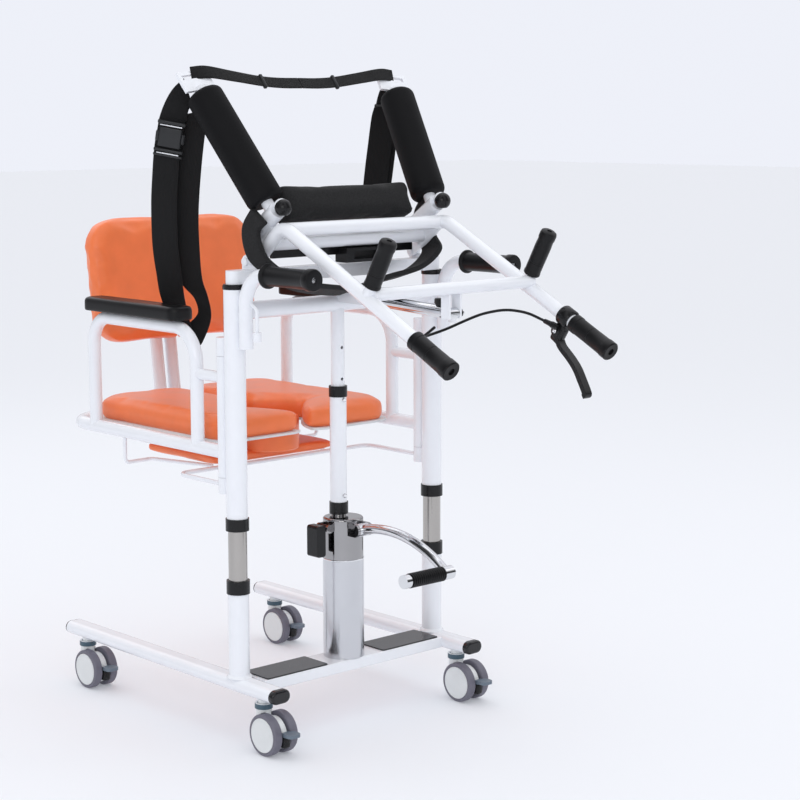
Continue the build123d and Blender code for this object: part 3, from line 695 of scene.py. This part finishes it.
# ---- column and upper frame -----------------------------------------------------------------
@dataclass
class UpperFrame(Part):
    """Posts, bars, push handles and the telescopic column."""

    collar_screws: tuple[float, float] = (0.419, 0.597)
    ring_below_bar: float = 0.009
    grip_start: tuple[float, float] = (-0.094, 0.842)

    def build(self) -> None:
        """Dress the frame and make push grips, column screws and the rings on the posts."""
        f = self.finishes
        self.dress(f.white, "upper_posts", "push_handles", "top_bar", "crossbar", "hinge_barrels",
                   "column_tube", "column_sleeve")
        self.dress(f.plastic, "upper_post_collars", "column_collars")
        grips = [self.push_grip(side) for side in Side]
        for grip in grips:
            self.fit(grip, f.rubber, "upper_frame", "black_plastic")
        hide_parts("push_grips")
        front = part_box("column_collars")[0][1]
        for z in self.collar_screws:
            screw = Bench.turned(f"column_screw_{round(z * 1000)}", (0, front + 0.0006, z), (0, -1, z),
                                 mm((0, 4.2), (1.4, 4), (2, 3), (1.2, 2.2), (1.2, 0.5)), sides=24)
            self.fit(screw, f.chrome, "ram", "chrome_plate")
        low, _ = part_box("top_bar")
        for side in Side:
            x = side.value * TRACK
            z = low[2] - self.ring_below_bar
            ring = Bench.turned(f"post_top_ring_{side.word}", (x, 0, z), (x, 0, 1),
                                mm((0, 19.6), (0.8, 20.3), (6.2, 20.3), (7, 19.6)))
            self.fit(ring, f.plastic, "upper_frame", "black_plastic")

    def push_grip(self, side: Side) -> bpy.types.Object:
        """Rubber push grip with a flange, a waist and a pierced end disc."""
        x = side.value * TRACK
        y, z = self.grip_start
        rings = mm((0, 12.8), (0, 20), (1.2, 21.8), (4.2, 21.8), (5.6, 20), (7, 17.6), (12, 17),
                   (60, 16.7), (106, 17), (109, 17.6), (111, 19), (122, 19.2), (124.5, 17.8),
                   (125, 15), (124.5, 5.2), (121, 4.8), (121, 0.5))
        return Bench.turned(f"push_grip_{side.word}", (x, y, z), (x, -1, z), rings, sides=48)


# ---- seat -----------------------------------------------------------------------------------
@dataclass
class SeatHalf(Pad):
    """One half of the seat: frame, cushion, backrest half and armrest pad."""

    side: Side
    seat: Stuffing = Stuffing(voxel=0.005, shrink=0.0005, pressure=4.0, cap=0.007, rounding=40)
    back: Stuffing = Stuffing(voxel=0.005, shrink=0.0005, pressure=4.0, cap=0.005, rounding=16)
    board_thickness: float = 0.004

    def build(self) -> None:
        """Dress the frame and make the pads."""
        f, word = self.finishes, self.side.word
        body = f"seat_{word}"
        self.dress(f.white, f"seat_frame_{word}")
        cushion = self.stuffed(f"seat_cushion_{word}", f"seat_pad_{word}", self.seat)
        self.fit(cushion, f.orange, body, "orange_leatherette", f"seat_cushion_{word}")
        self.fit(self.board(), f.board, body, "white_plastic")
        back = self.stuffed(f"backrest_{word}", f"back_pad_{word}", self.back)
        self.fit(back, f.orange, body, "orange_leatherette", f"backrest_{word}")
        self.fit(self.arm_pad(), f.rubber, body, "orange_leatherette", f"arm_pad_{word}")

    def board(self) -> bpy.types.Object:
        """Thin board under the cushion, of the cushion's outline."""
        node = f"seat_cushion_{self.side.word}"
        board = Bench.copy_of(node, f"seat_board_{self.side.word}")
        low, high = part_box(node)
        share = self.board_thickness / (high[2] - low[2])
        Bench.pick(board)
        bpy.ops.object.mode_set(mode="EDIT")
        bpy.ops.mesh.select_all(action="SELECT")
        bpy.ops.transform.resize(value=(1, 1, share), center_override=(0, 0, low[2]))
        bpy.ops.object.mode_set(mode="OBJECT")
        return Bench.tidy(board)

    def arm_pad(self) -> bpy.types.Object:
        """Moulded armrest pad with round ends and a soft top edge."""
        pad = Bench.copy_of(f"arm_pad_{self.side.word}", f"arm_rest_{self.side.word}")
        Bench.modify(pad, "REMESH", mode="VOXEL", voxel_size=0.0025)
        Bench.modify(pad, "SMOOTH", factor=0.5, iterations=10)
        bpy.ops.object.shade_smooth()
        return pad


@dataclass
class SeatCover(Pad):
    """Sliding cover under the seat and the plug that stands on it."""

    edge: float = 0.016
    cover: Stuffing = Stuffing(voxel=0.004, shrink=0.001, pressure=2.0, cap=0.003)

    def build(self) -> None:
        """Make the padded cover and the rounded plug."""
        f = self.finishes
        cover = self.stuffed("commode_cover", "cover_pad", self.cover)
        self.fit(cover, f.orange, "cover", "orange_leatherette", "commode_cover")
        low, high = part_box("seat_plug")
        centre = ((low[0] + high[0]) / 2, (low[1] + high[1]) / 2)
        radius, height = (high[0] - low[0]) / 2, high[2] - low[2]
        rings = [(0, radius - 0.002), (0.002, radius), (height - self.edge, radius)]
        for step in range(1, 7):
            turn = math.radians(15 * step)
            rings.append((height - self.edge + self.edge * 0.75 * math.sin(turn),
                          radius - self.edge * (1 - math.cos(turn))))
        rings += [(height - 0.002, radius * 0.5), (height, 0.004)]
        plug = Bench.turned("keyhole_plug", (*centre, low[2]), (*centre, 1.0), rings, sides=64)
        self.fit(plug, f.orange, "plug", "orange_leatherette", "seat_plug")


# ---- torso support --------------------------------------------------------------------------
@dataclass
class TorsoSupport(Pad):
    """Tilting frame with handles, chest pad and sling band."""

    handle_x: float = 0.188
    chest: Stuffing = Stuffing(voxel=0.005, shrink=0.003, pressure=4.0, cap=0.008)
    strut_front: tuple[float, float] = (-0.300, 0.777)
    bracket_face: float = 0.0152
    hinge: tuple[float, float] = (-0.374, 0.739)
    blade_section: tuple[float, float] = (0.0165, 0.0085)
    cable_end: Point = (0.174, -0.352, 0.756)
    housing_end: Point = (0.1795, -0.3830, 0.7451)
    bend: tuple[float, float] = (-0.078, 0.925)
    handle_slope: float = 0.50835
    upright_root: tuple[float, float] = (-0.296, 0.814)
    upright_lean: float = math.radians(29.4)
    grip_ends: tuple[float, float] = (-0.411, -0.497)
    clamp_ends: tuple[float, float] = (-0.3845, -0.420)
    band_width: float = 0.046
    band_thickness: float = 0.010

    def handle_point(self, x: float, y: float) -> Point:
        """Point of the long side tube at a given y."""
        bend_y, bend_z = self.bend
        return (x, y, bend_z + self.handle_slope * (y - bend_y))

    def upright_point(self, x: float, distance: float) -> Point:
        """Point of the upright handle at a distance from its root."""
        y, z = self.upright_root
        return (x, y - distance * math.sin(self.upright_lean), z + distance * math.cos(self.upright_lean))

    def build(self) -> None:
        """Dress the frame and make grips, cushion, sling band, hand lever and strut fittings."""
        f = self.finishes
        self.dress(f.white, "torso_frame")
        self.dress(f.plastic, "chest_board")
        self.dress(f.rubber, "lock_cable")
        self.dress(f.chrome, "strut_cylinder", "strut_rod")
        self.strut_fittings()
        grips = []
        for side in Side:
            x = side.value * self.handle_x
            grips.append(self.upright_grip(side, x))
            grips.append(self.front_grip(side, x))
        for grip in grips:
            self.fit(grip, f.rubber, "torso", "black_plastic")
        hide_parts("torso_grips")
        chest = self.stuffed("chest_pad", "chest_cushion", self.chest)
        self.widen(chest)
        self.fit(chest, f.mesh, "torso", "mesh_fabric", "chest_pad")
        self.fit(self.sling(), f.mesh, "torso", "mesh_fabric", "support_band")
        clamp, neck, body, *lever = self.brake_lever()
        for piece in (clamp, neck, body):
            self.fit(piece, f.plastic, "torso", "black_plastic")
        barrel = Bench.turned("cable_barrel", self.cable_end, self.housing_end,
                              mm((0, 2.8), (2, 4.2), (14, 4.8), (18, 6), (33, 6.2), (33.4, 2)), sides=24)
        self.fit(barrel, f.plastic, "torso", "black_plastic")
        screw = Bench.turned("lever_screw", (self.handle_x - 0.0088, *self.hinge), (-1, *self.hinge),
                             mm((0, 4), (2.2, 3.8), (3, 2.8), (2.2, 1.8), (2.2, 0.4)),
                             sides=24)
        self.fit(screw, f.chrome, "torso", "chrome_plate")
        for piece in lever:
            self.fit(piece, f.plastic, "hand_lever", "black_plastic")

    def strut_fittings(self) -> None:
        """Make the bolt with a washer through the strut's front bracket, and its valve knob."""
        f = self.finishes
        y, z = self.strut_front
        for name, finish, rings in (
                ("strut_washer", f.plastic, mm((0, 3), (0, 8.5), (1, 9.2), (3.6, 9.2), (4.4, 8),
                                               (4.4, 3))),
                ("strut_bolt", f.chrome, mm((4.4, 2.8), (4.4, 6.2), (5.2, 6.8), (8.6, 6.8), (9.6, 5.6),
                                            (8.8, 3), (8.8, 0.6)))):
            piece = Bench.turned(name, (self.bracket_face, y, z), (1.0, y, z), rings, sides=24)
            self.fit(piece, finish, "torso", "chrome_plate")
        knob = Bench.turned("valve_knob", (0, y + 0.030, z + 0.009), (0, y + 0.030, 1.0),
                            mm((0, 5.2), (3, 6), (7, 8.8), (13, 8.8), (15, 7), (15.6, 1)), sides=32)
        self.fit(knob, f.plastic, "strut_body", "black_plastic")

    @staticmethod
    def widen(cushion: bpy.types.Object) -> None:
        """Let the chest cushion stand a little wider and higher than its stiff core."""
        low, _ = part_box("chest_pad")
        Bench.pick(cushion)
        bpy.ops.object.mode_set(mode="EDIT")
        bpy.ops.mesh.select_all(action="SELECT")
        bpy.ops.transform.resize(value=(1.02, 1, 1.08), center_override=(0, 0, low[2]))
        bpy.ops.object.mode_set(mode="OBJECT")

    def sling(self) -> bpy.types.Object:
        """Padded sling band: out round both sides of the frame and together under its middle."""
        half = [((-0.212, -0.045, 0.943), (0, 0.83, 0.55)), ((-0.2135, -0.022, 0.915), (0, 1.0, 0.1)),
                ((-0.2135, -0.034, 0.876), (0, 0.97, -0.25)), ((-0.203, -0.056, 0.851), (0.2, 0.93, -0.3)),
                ((-0.150, -0.058, 0.821), (0.2, 0.93, -0.3)), ((-0.075, -0.045, 0.806), (0.05, 0.95, -0.3))]
        middle = [((0, -0.034, 0.800), (0, 0.95, -0.3))]
        other = [((-x * 0.90, y, z + 0.010), (-a, b, c)) for (x, y, z), (a, b, c) in reversed(half)]
        stations = half + middle + other
        path = Bench.line([point for point, _ in stations], steps=6)
        across = Bench.line([way for _, way in stations], steps=6)
        band = Bench.ribbon("sling_band", path, across, self.band_width, self.band_thickness)
        Bench.modify(band, "SUBSURF", levels=2, render_levels=2)
        bpy.ops.object.shade_smooth()
        return band

    def brake_lever(self) -> list[bpy.types.Object]:
        """Clamp ring on the left handle, round hinge housing and the curved two-finger blade."""
        x = self.handle_x
        ring = Bench.turned("lever_band", *(self.handle_point(x, y) for y in self.clamp_ends),
                            mm((0, 13.2), (0, 16.8), (1.5, 17.8), (22.5, 17.8), (24, 16.8), (24, 13.2)))
        hinge = Bench.turned("lever_hinge", (x - 0.0095, *self.hinge), (x + 1, *self.hinge),
                             mm((0, 8), (0.8, 9.8), (6, 10.5), (13, 10.5), (18.2, 9.8), (19, 8),
                                (18.8, 3.4), (18, 3), (18, 0.6)))
        slope = Matrix.Rotation(math.radians(33), 4, "X")
        body = Bench.slab("lever_body", (0.0160, 0.024, 0.034),
                          Matrix.Translation((x, -0.3765, 0.7335)) @ slope, bevel=0.005)
        neck = Bench.slab("lever_neck", (0.0150, 0.022, 0.020),
                          Matrix.Translation((x, -0.385, 0.7475)) @ slope, bevel=0.004)
        route = [(x, -0.376, 0.727), (x, -0.383, 0.712), (x, -0.402, 0.695), (x, -0.419, 0.677),
                 (x, -0.431, 0.657), (x, -0.440, 0.641), (x, -0.443, 0.633), (x, -0.439, 0.630)]
        path = Bench.line(route, steps=4)
        blade = Bench.ribbon("lever_blade", path, [Vector((1, 0, 0))] * len(path), *self.blade_section)
        Bench.modify(blade, "SUBSURF", levels=1, render_levels=1)
        bpy.ops.object.shade_smooth()
        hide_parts("release_lever")
        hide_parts("lever_clamp")
        return [ring, neck, body, hinge, blade]

    def upright_grip(self, side: Side, x: float) -> bpy.types.Object:
        """Upright hand grip with a seam, a waist and a pierced cap."""
        start, end = self.upright_point(x, 0.024), self.upright_point(x, 0.2)
        rings = mm((0, 11.2), (0, 14.2), (1, 15), (5, 15), (5.6, 14.4), (24, 14.3), (24.6, 13.8),
                   (25.2, 13.8), (25.8, 14.4), (56, 14.6), (70, 14), (73, 15), (82, 15.1), (85.6, 14),
                   (87.2, 11.5), (88, 4.6), (86, 4), (86, 0.5))
        return Bench.turned(f"upright_grip_{side.word}", start, end, rings)

    def front_grip(self, side: Side, x: float) -> bpy.types.Object:
        """Hand grip on the front of the long side tube."""
        start, end = (self.handle_point(x, y) for y in self.grip_ends)
        length = (Vector(end) - Vector(start)).length
        rings = mm((0, 12.8), (0, 15.6), (1, 16.5), (12, 16.5), (12.6, 15.8), (44, 15.7), (44.6, 15.2),
                   (45.4, 15.2), (46, 15.8))
        rings += [(length + at, radius) for at, radius in
                  mm((-16.5, 16.2), (-15, 17.1), (-2, 17.1), (0, 15.2), (-0.5, 6.2), (-4, 5.6), (-4, 0.5))]
        return Bench.turned(f"front_grip_{side.word}", start, end, rings)


@dataclass
class UnderarmSupport(Part):
    """One underarm support: socket, foam roll, strap bracket, hanging strap and half belt."""

    side: Side
    roll_start: float = 0.024
    roll_length: float = 0.232
    roll_radius: float = 0.033
    strap_width: float = 0.046
    strap_thickness: float = 0.0026
    belt_width: float = 0.024
    # How far the painted highlight strips (thin chrome slivers) stand out from the buckle's middle.
    edge_lift: float = 0.0062
    strap_length: float = 1.0
    strap_lean: float = 1.0
    strap_top: Point = (-0.236, 0.124, 1.155)

    def arm_matrix(self) -> Matrix:
        """Matrix of the arm: Z up the roll, X outward, Y back along the pivot axis."""
        pitch, splay, sign = math.radians(35), math.radians(9), self.side.value
        origin = Vector((sign * 0.188, -0.041 - 0.015 * math.cos(pitch), 0.935 + 0.015 * math.sin(pitch)))
        normal = Vector((0, math.sin(pitch), math.cos(pitch)))
        up = normal * math.cos(splay) + Vector((sign * math.sin(splay), 0, 0))
        out = Vector((sign * math.cos(splay), 0, 0)) - normal * math.sin(splay)
        back = up.cross(out)
        return Matrix.Translation(origin) @ Matrix((out, back, up)).transposed().to_4x4()

    def build(self) -> None:
        """Dress the frame and make roll and straps."""
        f, word = self.finishes, self.side.word
        body = f"arm_{word}"
        self.dress(f.white, f"arm_frame_{word}")
        roll = self.roll()
        self.fit(roll, f.foam, body, "black_foam", f"arm_roll_{word}")
        knob = Bench.ball(f"arm_knob_{word}", (self.side.value * 0.188, -0.0795, 0.9555), 0.0152)
        self.fit(knob, f.plastic, body, "black_plastic")
        strap = self.hanging_strap()
        self.fit(strap, f.webbing, body, "webbing")
        belt = self.belt()
        self.fit(belt, f.webbing, body, "webbing")
        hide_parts(f"arm_strap_{word}")
        for piece in self.buckle():
            # The thin edge strips get chrome: they are painted highlights, bright lines on the buckle's
            # rims; the rest is buckle plastic.
            self.fit(piece, f.chrome if "edge" in piece.name else f.buckle, body, "black_plastic")

    def roll(self) -> bpy.types.Object:
        """Foam roll with soft ends."""
        matrix = self.arm_matrix()
        start = matrix @ Vector((0, 0, self.roll_start))
        end = matrix @ Vector((0, 0, 1))
        edge, length, radius = 0.012, self.roll_length, self.roll_radius
        rings = [(0.001, 0.0115), (0.0002, radius - edge)]
        rings += [(edge * (1 - math.cos(a)), radius - edge * (1 - math.sin(a)))
                  for a in (math.radians(18 * step) for step in range(1, 6))]
        rings += [(length * share, radius) for share in (0.2, 0.4, 0.6, 0.8)]
        rings += [(length - edge * (1 - math.sin(a)), radius - edge * (1 - math.cos(a)))
                  for a in (math.radians(18 * step) for step in range(0, 5))]
        rings += [(length - 0.0002, radius - edge), (length - 0.001, 0.0115)]
        return Bench.turned(f"underarm_roll_{self.side.word}", tuple(start), tuple(end), rings, sides=64)

    def mirrored(self, point: Point) -> Point:
        """Point of this side, from the point of the right side."""
        return (-self.side.value * point[0], point[1], point[2])

    def hung(self, point: Point) -> Point:
        """Point of this side's strap, from the point of the right side's."""
        x, y, z = point
        x0, y0, z0 = self.strap_top
        drop = (z0 - z) * self.strap_length
        return self.mirrored((x0 + (x - x0) * self.strap_lean, y0 + (y - y0) * self.strap_lean, z0 - drop))

    def hanging_strap(self) -> bpy.types.Object:
        """Loop of webbing that hangs behind the roll and lies inside the armrest."""
        route = [
            ((-0.236, 0.124, 1.155), (0.22, -0.20, -0.95)), ((-0.247, 0.134, 1.137), (0.47, -0.43, -0.77)),
            ((-0.253, 0.148, 1.106), (0.70, -0.64, -0.33)), ((-0.255, 0.155, 1.080), (0.71, -0.64, -0.30)),
            ((-0.255, 0.164, 1.052), (0.71, -0.65, -0.26)), ((-0.252, 0.175, 1.007), (0.74, -0.67, -0.08)),
            ((-0.246, 0.189, 0.953), (0.74, -0.67, -0.05)), ((-0.233, 0.206, 0.880), (0.74, -0.67, 0)),
            ((-0.217, 0.218, 0.824), (0.74, -0.67, -0.09)), ((-0.205, 0.225, 0.781), (0.73, -0.66, -0.20)),
            ((-0.192, 0.221, 0.736), (0.66, -0.60, -0.45)), ((-0.177, 0.213, 0.709), (0.48, -0.44, -0.76)),
            ((-0.159, 0.202, 0.727), (0.20, -0.18, -0.96)), ((-0.156, 0.199, 0.761), (0.48, -0.44, -0.76)),
            ((-0.167, 0.204, 0.791), (0.69, -0.62, -0.38)), ((-0.178, 0.208, 0.817), (0.74, -0.67, -0.09)),
            ((-0.188, 0.201, 0.869), (0.74, -0.67, 0)), ((-0.198, 0.189, 0.934), (0.74, -0.67, 0)),
            ((-0.207, 0.168, 1.006), (0.74, -0.67, 0)), ((-0.214, 0.144, 1.078), (0.74, -0.67, 0)),
            ((-0.219, 0.122, 1.118), (0.73, -0.66, 0.19))]
        path = Bench.line([self.hung(point) for point, _ in route], steps=6)
        across = Bench.line([way for _, way in route], steps=6)
        return Bench.ribbon(f"hanging_strap_{self.side.word}", path, across, self.strap_width,
                            self.strap_thickness)

    def belt(self) -> bpy.types.Object:
        """Half of the cross belt, sagging to the middle."""
        route = [
            ((-0.238, 0.112, 1.185), (0, 0.25, 0.97)), ((-0.205, 0.108, 1.188), (0, 0.45, 0.89)),
            ((-0.150, 0.105, 1.181), (0, 0.6, 0.8)), ((-0.090, 0.103, 1.173), (0, 0.65, 0.76)),
            ((-0.045, 0.102, 1.170), (0, 0.65, 0.76)), ((-0.0005, 0.101, 1.170), (0, 0.65, 0.76))]
        path = Bench.line([self.mirrored(point) for point, _ in route])
        across = Bench.line([self.mirrored(way) for _, way in route])
        return Bench.ribbon(f"cross_belt_{self.side.word}", path, across, self.belt_width,
                            self.strap_thickness)

    def buckle(self) -> list[bpy.types.Object]:
        """Side-release buckle on the hanging strap and slider on the belt."""
        sign = self.side.value
        top, bottom = Vector(self.hung((-0.253, 0.150, 1.098))), Vector(self.hung((-0.253, 0.163, 1.050)))
        up = (top - bottom).normalized()
        across = Vector((0.71, -0.64, -0.30))
        across = (across - up * across.dot(up)).normalized()
        outward = across.cross(up)
        frame = Matrix((across, up, outward)).transposed().to_4x4()
        centre = (top + bottom) / 2
        word = self.side.word
        pieces = []
        for name, offset, size in (("buckle_body", 0.0, (0.040, 0.036, 0.012)),
                                   ("buckle_top_bar", 0.026, (0.050, 0.007, 0.011)),
                                   ("buckle_low_bar", -0.024, (0.052, 0.006, 0.012)),
                                   ("buckle_tail_bar", -0.033, (0.052, 0.005, 0.010))):
            matrix = Matrix.Translation(centre + up * offset) @ frame
            pieces.append(Bench.slab(f"{name}_{word}", size, matrix, bevel=0.002))
        for lug in (-1, 1):
            matrix = Matrix.Translation(centre + across * lug * 0.0225) @ frame
            name = f"buckle_lug_{'a' if lug < 0 else 'b'}_{word}"
            pieces.append(Bench.slab(name, (0.007, 0.020, 0.009), matrix, bevel=0.003))
        # Thin chrome strips along the buckle's top and bottom rims, proud of its face: painted highlights,
        # bright lines standing in for light caught on the black plastic edges.
        for name, offset in (("buckle_top_edge", 0.0215), ("buckle_low_edge", -0.0290)):
            matrix = Matrix.Translation(centre + up * offset + outward * self.edge_lift) @ frame
            pieces.append(Bench.slab(f"{name}_{word}", (0.040, 0.0022, 0.0016), matrix, bevel=0.0005))
        lean = Matrix.Rotation(math.radians(-38), 4, "X")
        matrix = Matrix.Translation((sign * 0.085, 0.103, 1.1725)) @ lean
        pieces.append(Bench.slab(f"belt_slider_{word}", (0.007, 0.007, 0.030), matrix, bevel=0.002))
        return pieces


# ---- studio ---------------------------------------------------------------------------------
@dataclass
class Studio:
    """Floor, lights, world and camera."""

    eye: Point = (-2.2910, -2.6889, 1.118)
    azimuth: float = -42.2754
    pitch: float = -8.4298
    roll: float = -0.12
    lens: float = 87.55
    lights: tuple[tuple[str, Point, float, float], ...] = (
        ("key", (-2.6, -2.2, 1.9), 1.6, 22.0), ("fill", (2.8, -1.4, 2.0), 2.2, 7.0),
        ("back", (0.6, 3.0, 2.8), 2.2, 8.0), ("top", (0, 0, 3.6), 2.6, 6.0))
    backdrop: tuple[float, float, float, float] = (0.855, 0.875, 0.945, 1.0)
    panels: tuple[tuple[float, float], ...] = (
        (0.02, 0.95), (0.06, 0.90), (0.09, 0.10), (0.17, 0.08), (0.19, 0.80), (0.27, 1.0), (0.30, 0.10),
        (0.37, 0.06), (0.41, 0.85), (0.55, 1.0), (0.72, 1.0), (0.84, 0.80), (0.88, 0.05), (0.95, 0.06))

    def build(self) -> None:
        """Set up the studio."""
        self.floor()
        self.world()
        for name, place, size, power in self.lights:
            self.light(name, place, size, power)
        bpy.context.scene.view_settings.view_transform = "Standard"
        self.camera()

    def floor(self) -> None:
        """Pale floor."""
        Bench.clear()
        bpy.ops.mesh.primitive_plane_add(size=60)
        floor = bpy.context.object
        floor.name = "studio_floor"
        material = bpy.data.materials.new("floor_paint")
        material.use_nodes = True
        shader = material.node_tree.nodes["Principled BSDF"]
        shader.inputs["Base Color"].default_value = (0.68, 0.69, 0.72, 1)
        shader.inputs["Emission Color"].default_value = self.backdrop
        shader.inputs["Emission Strength"].default_value = 0.205
        shader.inputs["Roughness"].default_value = 0.9
        floor.data.materials.append(material)

    def world(self) -> None:
        """Pale surroundings, brighter overhead, with dark studio panels that only glossy parts mirror."""
        world = bpy.data.worlds.new("studio_world")
        world.use_nodes = True
        nodes, links = world.node_tree.nodes, world.node_tree.links
        seen = nodes["Background"]
        seen.inputs["Color"].default_value = self.backdrop
        seen.inputs["Strength"].default_value = 1.0
        coords = nodes.new("ShaderNodeTexCoord")
        split = nodes.new("ShaderNodeSeparateXYZ")
        links.new(coords.outputs["Generated"], split.inputs["Vector"])
        sky = nodes.new("ShaderNodeMapRange")
        sky.inputs["From Min"].default_value = 0.0
        sky.inputs["To Min"].default_value = 0.50
        sky.inputs["To Max"].default_value = 1.22
        links.new(split.outputs["Z"], sky.inputs["Value"])
        diffuse = nodes.new("ShaderNodeBackground")
        diffuse.inputs["Color"].default_value = (0.97, 0.98, 1.0, 1)
        links.new(sky.outputs["Result"], diffuse.inputs["Strength"])

        around = nodes.new("ShaderNodeTexGradient")
        around.gradient_type = "RADIAL"
        links.new(coords.outputs["Generated"], around.inputs["Vector"])
        panels = nodes.new("ShaderNodeValToRGB")
        stops = panels.color_ramp
        stops.elements[0].position, stops.elements[0].color = 0.0, (0.9, 0.9, 0.95, 1)
        stops.elements[1].position, stops.elements[1].color = 1.0, (0.9, 0.9, 0.95, 1)
        for place, tone in self.panels:
            stops.elements.new(place).color = (tone, tone, tone * 1.06, 1)
        links.new(around.outputs["Color"], panels.inputs["Fac"])
        mirrored = nodes.new("ShaderNodeBackground")
        links.new(panels.outputs["Color"], mirrored.inputs["Color"])
        links.new(sky.outputs["Result"], mirrored.inputs["Strength"])

        path = nodes.new("ShaderNodeLightPath")
        lit = nodes.new("ShaderNodeMixShader")
        links.new(path.outputs["Is Glossy Ray"], lit.inputs["Fac"])
        links.new(diffuse.outputs["Background"], lit.inputs[1])
        links.new(mirrored.outputs["Background"], lit.inputs[2])
        final = nodes.new("ShaderNodeMixShader")
        links.new(path.outputs["Is Camera Ray"], final.inputs["Fac"])
        links.new(lit.outputs["Shader"], final.inputs[1])
        links.new(seen.outputs["Background"], final.inputs[2])
        links.new(final.outputs["Shader"], nodes["World Output"].inputs["Surface"])
        bpy.context.scene.world = world

    def light(self, name: str, place: Point, size: float, power: float) -> None:
        """Add one square soft light that faces the lift's middle."""
        Bench.clear()
        bpy.ops.object.light_add(type="AREA", location=place)
        lamp = bpy.context.object
        lamp.name = f"{name}_light"
        lamp.data.size = size
        lamp.data.energy = power
        lamp.rotation_euler = (Vector((0, 0.1, 0.6)) - Vector(place)).to_track_quat("-Z", "Y").to_euler()

    def camera(self) -> None:
        """Add the camera."""
        data = bpy.data.cameras.new("camera")
        data.lens = self.lens
        data.sensor_width = 36.0
        camera = bpy.data.objects.new("camera", data)
        bpy.context.collection.objects.link(camera)
        turn = (Matrix.Rotation(math.radians(self.azimuth), 4, "Z")
                @ Matrix.Rotation(math.radians(90 + self.pitch), 4, "X")
                @ Matrix.Rotation(math.radians(self.roll), 4, "Z"))
        camera.matrix_world = Matrix.Translation(self.eye) @ turn
        bpy.context.scene.camera = camera


def main() -> None:
    """Build every sub-assembly in order."""
    logging.basicConfig(level=logging.INFO, format="%(name)s: %(message)s")
    FRAME.update(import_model())
    Studio().build()
    finishes = Finishes()
    Base(finishes).build()
    for end, stem_y in (("front", -0.069), ("rear", 0.490)):
        for side in Side:
            Castor(finishes, end, side, stem_y).build()
    Pump(finishes).build()
    UpperFrame(finishes).build()
    for side in Side:
        SeatHalf(finishes, side).build()
    SeatCover(finishes).build()
    TorsoSupport(finishes).build()
    UnderarmSupport(finishes, Side.RIGHT).build()
    UnderarmSupport(finishes, Side.LEFT, strap_length=0.66, strap_lean=0.3).build()


if __name__ == "__main__":
    main()
